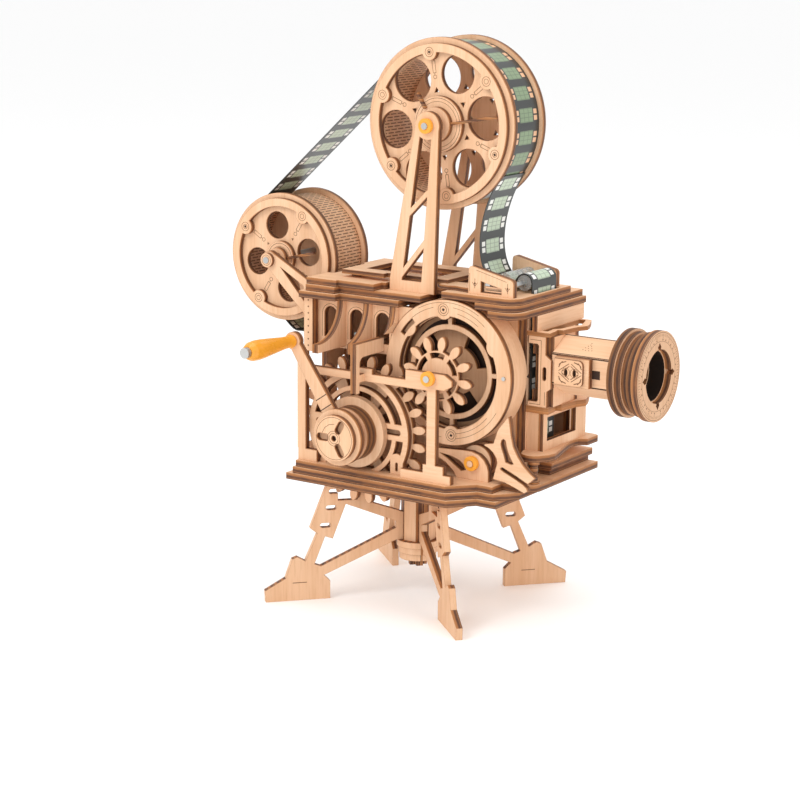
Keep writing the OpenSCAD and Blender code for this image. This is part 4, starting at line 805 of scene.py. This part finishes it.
# Ledges, rail and post of the gate
ledge = [(56.9, -1.5), (66, -1.6), (68.2, -1.2), (67.6, 4.8), (66.8, 8), (69.3, 8.6), (69.6, 13.2),
         (70.5, 19.3), (72.8, 24.2), (71.5, 28.5), (68.6, 34.9), (67, 38), (56.9, 38)]
ledge_hollow = [(62.2, 2.4), (65, 2.4), (64.2, 8.4), (66.5, 11.6), (67.2, 19.6), (69.4, 24.6),
                (66, 34), (65, 36), (62.2, 36)]
plate("gate_top_ledge", "z", GATE_HIGH, 1.9, [ledge, FILM_HOLE, ledge_hollow],
      instead="gate_ledges")
plate("gate_lower_ledge", "z", GATE_LOW - PLY, PLY, [ledge, FILM_HOLE], instead="gate_ledges")
RAIL_LOW = 73.4
rail_ply = plywood("gate_rail", "z", RAIL_LOW, 1, "y", seed=89)
plate("gate_rail", "z", RAIL_LOW, PLY, [
    [(56.9, -3)] + corner(63.5, -4.8, 5.6, 190, 330)
    + [(70.6, -4), (71.4, 0), (70.7, 4), (69, 10), (67.2, 17), (66, 22.5), (65.6, 27), (66.4, 30),
       (68, 31.2), (69.8, 32.4)]
    + corner(66.3, 37.5, 5.6, 50, 90) + [(56.9, 43.2)], FILM_HOLE], rail_ply, instead="gate_ledges")
for part, low, tall, radius in (("foot", BASE_TOP, 1.2, 2.6), ("shaft", 64.7, 7.5, 1.8),
                                ("collar", 72.2, 1.2, 2.5)):
    plate("gate_post_" + part, "z", low, tall, [disc(65.2, -7.4, radius)], rail_ply)

# Gate, of plates round the film
gate_slot = corner(65.95, 113.8, 0.9, 0, 180) + corner(65.95, 109.5, 0.9, 180, 360)
plate("gate_side_plate", "y", GATE_FRONT, PLY, [
    [(GATE_X, GATE_LOW), (67.2, GATE_LOW), (67.2, 103.8), (69.2, 105.3), (69.2, 118), (66.3, 120),
     (66.3, GATE_HIGH), (GATE_X, GATE_HIGH), (GATE_X, 124.6), (62.2, 124.6), (62.9, 123.9),
     (62.9, 99.5), (62.2, 98.8), (GATE_X, 98.8)], gate_slot],
      plywood("gate_side", "y", GATE_FRONT, 1, "z", seed=83), instead="gate_frame")
plate("gate_back_plate", "y", 20.1, PLY, [box(GATE_X, GATE_LOW, GATE_RIGHT, GATE_HIGH)],
      plywood("gate_back", "y", 20.1, 1, "z", seed=84))
plate("gate_front_plate", "x", GATE_RIGHT - PLY, PLY,
      [box(1.5, GATE_LOW, 20.1, GATE_HIGH), disc(LENS_Y, LENS_Z, 9)],
      plywood("gate_front", "x", GATE_RIGHT - PLY, 1, "z", seed=86))
# the inner plate's low tone is painted shade inside the gate
plate("gate_inner_plate", "x", 58.4, 1.5, [
    [(1.5, GATE_LOW), (22, GATE_LOW), (22, GATE_HIGH), (1.5, GATE_HIGH), (1.5, 119.5), (4, 119.5),
     (4, 103.5), (1.5, 103.5)]], plywood("gate_inner", "x", 58.4, 0.5, "z", tone=0.5, seed=88))
plate("gate_cover", "x", 59.4, 2.5, [box(-1.5, 129.9, 40, 137)],
      plywood("gate_cover", "x", 59.4, 0.83, "y", seed=72))

# Lens ring with four notches, and its scale
notch = [(12.9, -6.5), (14.7, 0), (12.9, 6.5)]
bore = []
for turn in range(0, 360, 90):
    for radius, degrees in notch + [(11.8, 5 + 10 * i) for i in range(9)]:
        bore.append(ray(radius, turn + degrees, LENS_Y, LENS_Z))
plate("lens_front_ring", "x", LENS_FACE - PLY, PLY, [disc(LENS_Y, LENS_Z, 19.9, 96), bore],
      instead="lens_face")
scale = [("ring", 0, 0, 19.1, LINE * 0.8), ("ring", 0, 0, 15.3, LINE * 0.7)]
for i in range(90):
    size = 1.9 if i % 5 == 0 else 1.1
    u, v = ray(18.5 - size / 2, 4 * i)
    scale.append(("bar", u, v, size, LINE * 0.8, 4 * i))
for i in range(36):
    if i % 9:
        u, v = ray(16, 10 * i)
        scale.append(("dot", u, v, 0.42, 3 + i % 3, 10 * i))
engrave("lens_scale", (LENS_FACE, LENS_Y, LENS_Z), scale, side="right")

# Seams and marks of the six-sided barrel
PLANES["slope"] = ((1, 0, 0), (0, math.cos(math.pi / 6), math.sin(math.pi / 6)))
engrave("barrel_seams_front", (84.4, -0.15, LENS_Z), [
    ("bar", 0, 6.35, 31, 0.55), ("bar", 0, -6.35, 31, 0.55),
    ("bar", 6.3, -0.5, 4.1, 3.8)], dark_burn_and_shade)
engrave("barrel_seams_top", (84.4, 5.65, 124.55), [
    ("bar", 0, 6.3, 31, 0.45), ("bar", 0, -6.3, 31, 0.45)], dark_burn_and_shade, side="slope")
engrave("barrel_mark", (84, 5.3, 124.35), [
    ("dot", u, v, 0.3, 4, 45) for u, v in ((0, 3), (0, 2), (-0.8, 1), (0.8, 1), (-1.5, -0.2),
                                           (0, -0.4), (1.5, -0.2), (-2.2, -1.6), (-0.8, -1.8),
                                           (0.8, -1.8), (2.2, -1.6))], side="slope")

# Focus slider
SLIDER_X, SLIDER_FACE, SLIDER_HOLES = 80.5, -4.7, (78.4, 82.6)
slider_edge = ([(72.6, 108.7), (84, 108.7)] + corner(84.4, 110.9, 2.2, -80, 0, 5)
               + corner(84.4, 118, 2.2, 0, 90, 6) + [(72.6, 120.2)])
slider_holes = [[(x + 0.85 * math.cos(a), LENS_Z + 1.7 * math.sin(a))
                 for a in [math.tau * i / 20 for i in range(20)]]
                for x in SLIDER_HOLES]
plate("slider_top_plate", "y", SLIDER_FACE, 1.4, [slider_edge] + slider_holes,
      bpy.data.materials["ply_focus_slider"], body="focus")
diamond = []
for u, v in ((-1, 1), (1, 1), (-1, -1), (1, -1)):
    for size, out in ((6.2, 1), (4.6, 0.72)):
        diamond.append(("bar", 3.1 * u * out, 2.2 * v * out, size, LINE * 1.5, -35 * u * v))
    diamond += [("bar", 4.6 * u, 3.9 * v, 2.4, LINE * 2, -42 * u * v),
                ("bar", 3 * u, 4.5 * v, 2.2, LINE * 2, -18 * u * v),
                ("bar", 5.3 * u, 2.7 * v, 1.6, LINE * 2, -65 * u * v)]
for x in SLIDER_HOLES:
    diamond.append(("ring", x - SLIDER_X, 0, 2, LINE * 0.8))
engrave("slider_ornament", (SLIDER_X, SLIDER_FACE, LENS_Z), diamond, body="focus")
# dark dots behind the slider's holes, painted shade seen through them
engrave("slider_holes", (SLIDER_X, -3.455, LENS_Z), [
    ("dot", -2.1, 0, 2, 20), ("dot", 2.1, 0, 2, 20)], dark_burn_and_shade, body="focus")
engrave("gate_border", (0, GATE_FRONT, 0), [
    ("bar", 64.1, 112, 28.6, LINE, 90), ("bar", 61.3, 126.3, 5.6, LINE),
    ("bar", 61.3, 97.7, 5.6, LINE), ("bar", 66.3, 100.6, 6, LINE, 90)])

# Shutter housing
ring_lines, ring_holes = [], []
for radius, first, last in ((29.5, 46, 87), (29.5, 103, 131), (29.5, 196, 266), (29.5, 275, 330),
                            (27.3, 52, 80), (27.3, 280, 322), (31.4, 60, 120)):
    ring_lines.append(("ring", 0, 0, radius, LINE * 0.8, first, last))
for degrees in (95, -85):
    u, v = ray(28.1, degrees)
    ring_lines += [("ring", u, v, 2.7, LINE), ("ring", u, v, 1.7, LINE * 1.4)]
    ring_holes.append(("dot", u, v, 0.8, 4, 20))
engrave("housing_lines", (HOUSING[0], COVER_FACE, HOUSING[1]), ring_lines)
# a dark dot in each ring, painted shade in its hole
engrave("housing_holes", (HOUSING[0], COVER_FACE, HOUSING[1]), ring_holes, dark_burn_and_shade)
engrave("housing_rim_mark", (58.9, -3.4, HOUSING[1]), [("dot", 0, 0, 1.2, 3, 90)], dark_burn_and_shade,
        side="right")
pin_u, pin_v = ray(29.2, 2)
plate("housing_pin", "y", -19.1, 2, [disc(HOUSING[0] + pin_u, HOUSING[1] + pin_v, 0.9, 20)], steel)

# Crank's face, painted shade inside the housing, and lines on the arm
face_lines = [("ring", 0, 0, 9.6, LINE), ("ring", 0, 0, 3.4, LINE), ("ring", 0, 0, 2.4, LINE)]
for degrees in (100, 125, 150):
    u, v = ray(6.4, degrees)
    face_lines.append(("bar", u, v, 3, LINE, degrees + 90))
engrave("crank_face_lines", (-13.3, -48.6, 80.6), face_lines, body="crank")

# painted shade: a dark disc on the front wall behind the shutter and a dark ring on the shutter's
# rim, where the housing is deep in shade
engrave("housing_shade", (SHUTTER[0], WALL_FACE, SHUTTER[1]), [("dot", 0, 0, 23, 64)], dark_burn_and_shade)
engrave("shutter_rim_shade", (SHUTTER[0], SHUTTER_FACE, SHUTTER[1]), [
    ("ring", 0, 0, 21.6, 3.4)], dark_burn_and_shade, body="shutter_body")
arm_turn = math.degrees(math.atan2(handle_z - crank_z, handle_x - crank_x))
arm_lines = []
for reach in (14.5, 19.5):
    u, v = ray(reach, arm_turn)
    arm_lines.append(("bar", u, v, 6.6, 0.4, arm_turn - 90))
engrave("crank_arm_lines", (CRANK[0], -43.1, CRANK[1]), arm_lines, dark_burn_and_shade, body="crank")

# Arcade and pilaster
arches = []
for x in (-37.08, -22.83, -8.58):
    top = ARCADE_LOW + 14.2 - 3.55
    arches.append(("ring", x, top, 4.7, LINE, 0, 180))
    for flip in (-1, 1):
        arches.append(("bar", x + flip * 4.7, (ARCADE_LOW + top) / 2, top - ARCADE_LOW, LINE, 90))
engrave("arcade_lines", (0, -17.7, 0), arches)
studs = [("dot", -46.6, 114.5 + 3 * i, 0.5, 4, 0) for i in range(8)]
engrave("pilaster_studs", (0, -22, 0), studs)

# Bracket and cover at the housing's foot
bracket = [(58.2, 94.5), (58.9, 90.8), (59.6, 86.1), (60.8, 81.5), (63.1, 77.4), (66, 73.7),
           (69.6, 70.6), (72.1, 69), (68.7, 66), (64.6, 67.9), (59.9, 70), (55.6, 71.6),
           (54.6, 71.1), (54.7, 70.4), (56.4, 69.5), (61.5, 67.4), (65.9, 65.4), (68, 63.9),
           (68.5, 62.6), (66.9, 61.6), (62, 63.4), (56.9, 65), (51, 65.6), (52.1, 69.9), (53, 73.1),
           (52.6, 75.1), (50.8, 77.6), (48.4, 79.3), (46, 80.2), (46.6, 80.8), (50.9, 81.6),
           (51.8, 84.3), (53.1, 88.1), (55.7, 91.4)]
bracket_hole = [(55.9, 84.4), (57.1, 83.7), (57.7, 81), (58.6, 78.4), (59.8, 76.2), (61.3, 73.8),
                (59.9, 73.4), (57.1, 74.1), (56.1, 77.4), (55, 80), (54.5, 81.9), (54.9, 83.6)]
plate("curved_bracket", "y", COVER_FACE, PLY, [bracket, bracket_hole], instead="side_bracket")
cover = [(22.1, 75.6), (29, 75.9), (35, 76.3), (39.7, 76.3), (43.3, 75.3), (45.9, 73.4),
         (47.6, 70.9), (48.4, 68.3), (48.5, BASE_TOP), (32, BASE_TOP), (30.3, 66.4), (26.6, 69.4),
         (22.1, 71.6)]
cover_hole = [(22.9, 73.6), (29, 72.9), (33.4, 71.6), (36, 69.6), (36.9, 67.6), (34.3, 66.8),
              (30.9, 69), (27, 71.5)]
plate("teardrop_cover", "y", COVER_FACE, PLY, [cover, cover_hole], instead="idler_cover")

# Raised strips on the deck, and levers on the reels
deck_ply = plywood("deck_strips", "z", DECK_TOP, 0.7, "x", seed=75)
for count, (left, right) in enumerate(((-33, -29), (14, 18))):
    plate("deck_raised_foot_" + str(count + 1), "z", DECK_TOP, 1.6, [box(left, -7, right, 22)],
          deck_ply)
plate("deck_raised_frame", "z", 147.6, 2, [
    [(-35, -12), (-12, -12), (-12, -9), (20, -9), (20, 25), (-37, 25), (-37, 8), (-35, 6)],
    box(-27, -4, 12, 16)], deck_ply)
plate("deck_front_strip", "z", DECK_TOP, 2, [
    [(17.5, -12)] + corner(26, -16.5, 4.5, 130, 60, 6) + [(33.6, -13.5), (33.6, -2), (17.5, -2)]],
      deck_ply)
lever_ply = plywood("reel_lever", "z", 0, 1, "x", tone=0.8, seed=77)
for name, body, ends in (("upper_reel_lever", "upper_reel", ((18.3, 217.9), (41.2, 222.2))),
                         ("upper_reel_stub", "upper_reel", ((0.6, 230.4), (4.8, 223.9))),
                         ("lower_reel_lever", "lower_reel", ((-70.5, 150.2), (-55.6, 154)))):
    (x0, z0), (x1, z1) = ends
    reach = math.dist(*ends) / 0.65
    side_x, side_z = (z0 - z1) / reach, (x1 - x0) / reach
    plate(name, "y", -5.9, 1.7, [[
        (x0 + side_x, z0 + side_z), (x0 - side_x, z0 - side_z), (x1 - side_x, z1 - side_z),
        (x1 + side_x, z1 + side_z)]], lever_ply, body=body)
plate("lens_inner_ring", "x", 103.5, 1.2,
      [disc(LENS_Y, LENS_Z, 11, 64), disc(LENS_Y, LENS_Z, 10, 64)],
      plywood("lens_inner", "x", 103.5, 1, "z", seed=76))

# Spokes and gears, with a petal of the large gear between two of the small one
gear_turn = math.degrees(math.atan2(shutter_z - crank_z, shutter_x - crank_x))
plate("ring_spokes_plate", "y", RIM_FACE, PLY, [disc(*SHUTTER, 29.6, 96), disc(*SHUTTER, 18.9, 72)]
      + [arc_slot(*SHUTTER, 25, 21.3, a + 4.6, a + 89.4) for a in range(0, 360, 90)],
      instead="ring_spokes")
plate("gear_large_petals", "y", GEAR_FACE, PLY,
      [petal_gear(*CRANK, 24, 27.5, 34.2, 1.95, gear_turn)]
      + [arc_slot(*CRANK, 24.5, 10, a + 8, a + 52) for a in range(0, 360, 60)],
      body="crank", instead="gear_large")
plate("gear_small_petals", "y", GEAR_FACE, PLY,
      [petal_gear(*SHUTTER, 12, 11.2, 17.7, 1.95, gear_turn + 195)]
      + [arc_slot(*SHUTTER, 10.4, 8, a + 8, a + 52) for a in range(0, 360, 60)],
      body="shutter_body", instead="gear_small")

# Panels behind the back and left windows, sheets with a darker tone that are painted shade for the
# dark inside, and the box under the gate
plate("inner_panel", "y", 38.2, PLY, [box(-41, 63.6, 53.8, 113)],
      plywood("inner_panel", "y", 38.2, 1, "x", tone=0.85, seed=80))
plate("inner_panel_left", "x", -41.1, PLY, [box(-1.3, 63.6, 38, 110)],
      plywood("inner_panel_left", "x", -41.1, 1, "y", tone=0.8, seed=82))
box_ply = plywood("film_box", "yx", -0.4, 1, "z", seed=78)
plate("film_box_side", "y", -0.4, 1.2, [box(56.9, 76.2, 63, 93.6)], box_ply)
plate("film_box_front", "x", 63, 2.4,
      [box(-0.4, 76.2, 38, 93.6), box(3.2, 80.6, 28.7, 91.3)],
      plywood("film_box_front", "x", 63, 0.8, "z", seed=79))

# Marks on the feet
PLANES["leg"] = ((math.cos(LEG_TURN), math.sin(LEG_TURN), 0), (0, 0, 1))
leg_face = (1.5 * math.sin(LEG_TURN), -1.5 * math.cos(LEG_TURN), 0)
engrave("foot_marks", leg_face, [
    ("bar", -56, 8.4, 6.6, 0.35), ("bar", 53.2, 7.3, 6.6, 0.35)], side="leg")


# ------------------------------------------------- floor, light and camera
def studio():
    """White floor and world, three soft lamps, and the camera fitted to the photo."""
    bpy.ops.object.select_all(action="DESELECT")
    bpy.ops.mesh.primitive_plane_add(size=40, location=(0, 0, 0))
    ground = bpy.context.object
    ground.name = "studio_floor"
    mat, tree, shader = new_material("pale_floor")
    wire(tree, shader, {"Base Color": (0.97, 0.97, 0.97, 1), "Roughness": 0.7})
    ground.data.materials.append(mat)
    world = bpy.data.worlds.new("studio")
    bpy.context.scene.world = world
    world.use_nodes = True
    world.node_tree.nodes["Background"].inputs[0].default_value = (1, 1, 1, 1)
    world.node_tree.nodes["Background"].inputs[1].default_value = 1.0

    def lamp(name, place, size, power, colour=(1, 1, 1)):
        data = bpy.data.lights.new(name, "AREA")
        data.shape = "SQUARE"
        data.size = size
        data.energy = power
        data.color = colour
        item = bpy.data.objects.new(name, data)
        bpy.context.scene.collection.objects.link(item)
        item.location = place
        aim = Vector((0, 0, 0.12)) - Vector(place)
        item.rotation_euler = aim.to_track_quat("-Z", "Y").to_euler()

    lamp("key_light", (-0.35, -1.0, 1.05), 0.6, 6.0, (1, 0.985, 0.96))
    lamp("fill_light", (1.1, -0.45, 0.55), 0.8, 2.0)
    lamp("top_light", (0.0, 0.2, 1.3), 0.9, 4.0)

    data = bpy.data.cameras.new("photo_camera")
    camera = bpy.data.objects.new("photo_camera", data)
    bpy.context.scene.collection.objects.link(camera)
    turn, lift, roll = math.radians(33.73), math.radians(12.69), math.radians(0.53)
    back = Vector((math.sin(turn) * math.cos(lift), -math.cos(turn) * math.cos(lift),
                   math.sin(lift)))
    right = Vector((math.cos(turn), math.sin(turn), 0))
    up = back.cross(right)
    right_turned = right * math.cos(roll) + up * math.sin(roll)
    up_turned = back.cross(right_turned)
    pose = Matrix((right_turned, up_turned, back)).transposed().to_4x4()
    pose.translation = Vector((0.53467, -0.81680, 0.31076))
    camera.matrix_world = pose
    data.sensor_fit = "HORIZONTAL"
    data.sensor_width = 36
    data.lens = 98.85
    data.clip_start = 0.01
    bpy.context.scene.camera = camera
    bpy.context.scene.view_settings.view_transform = "Standard"


studio()
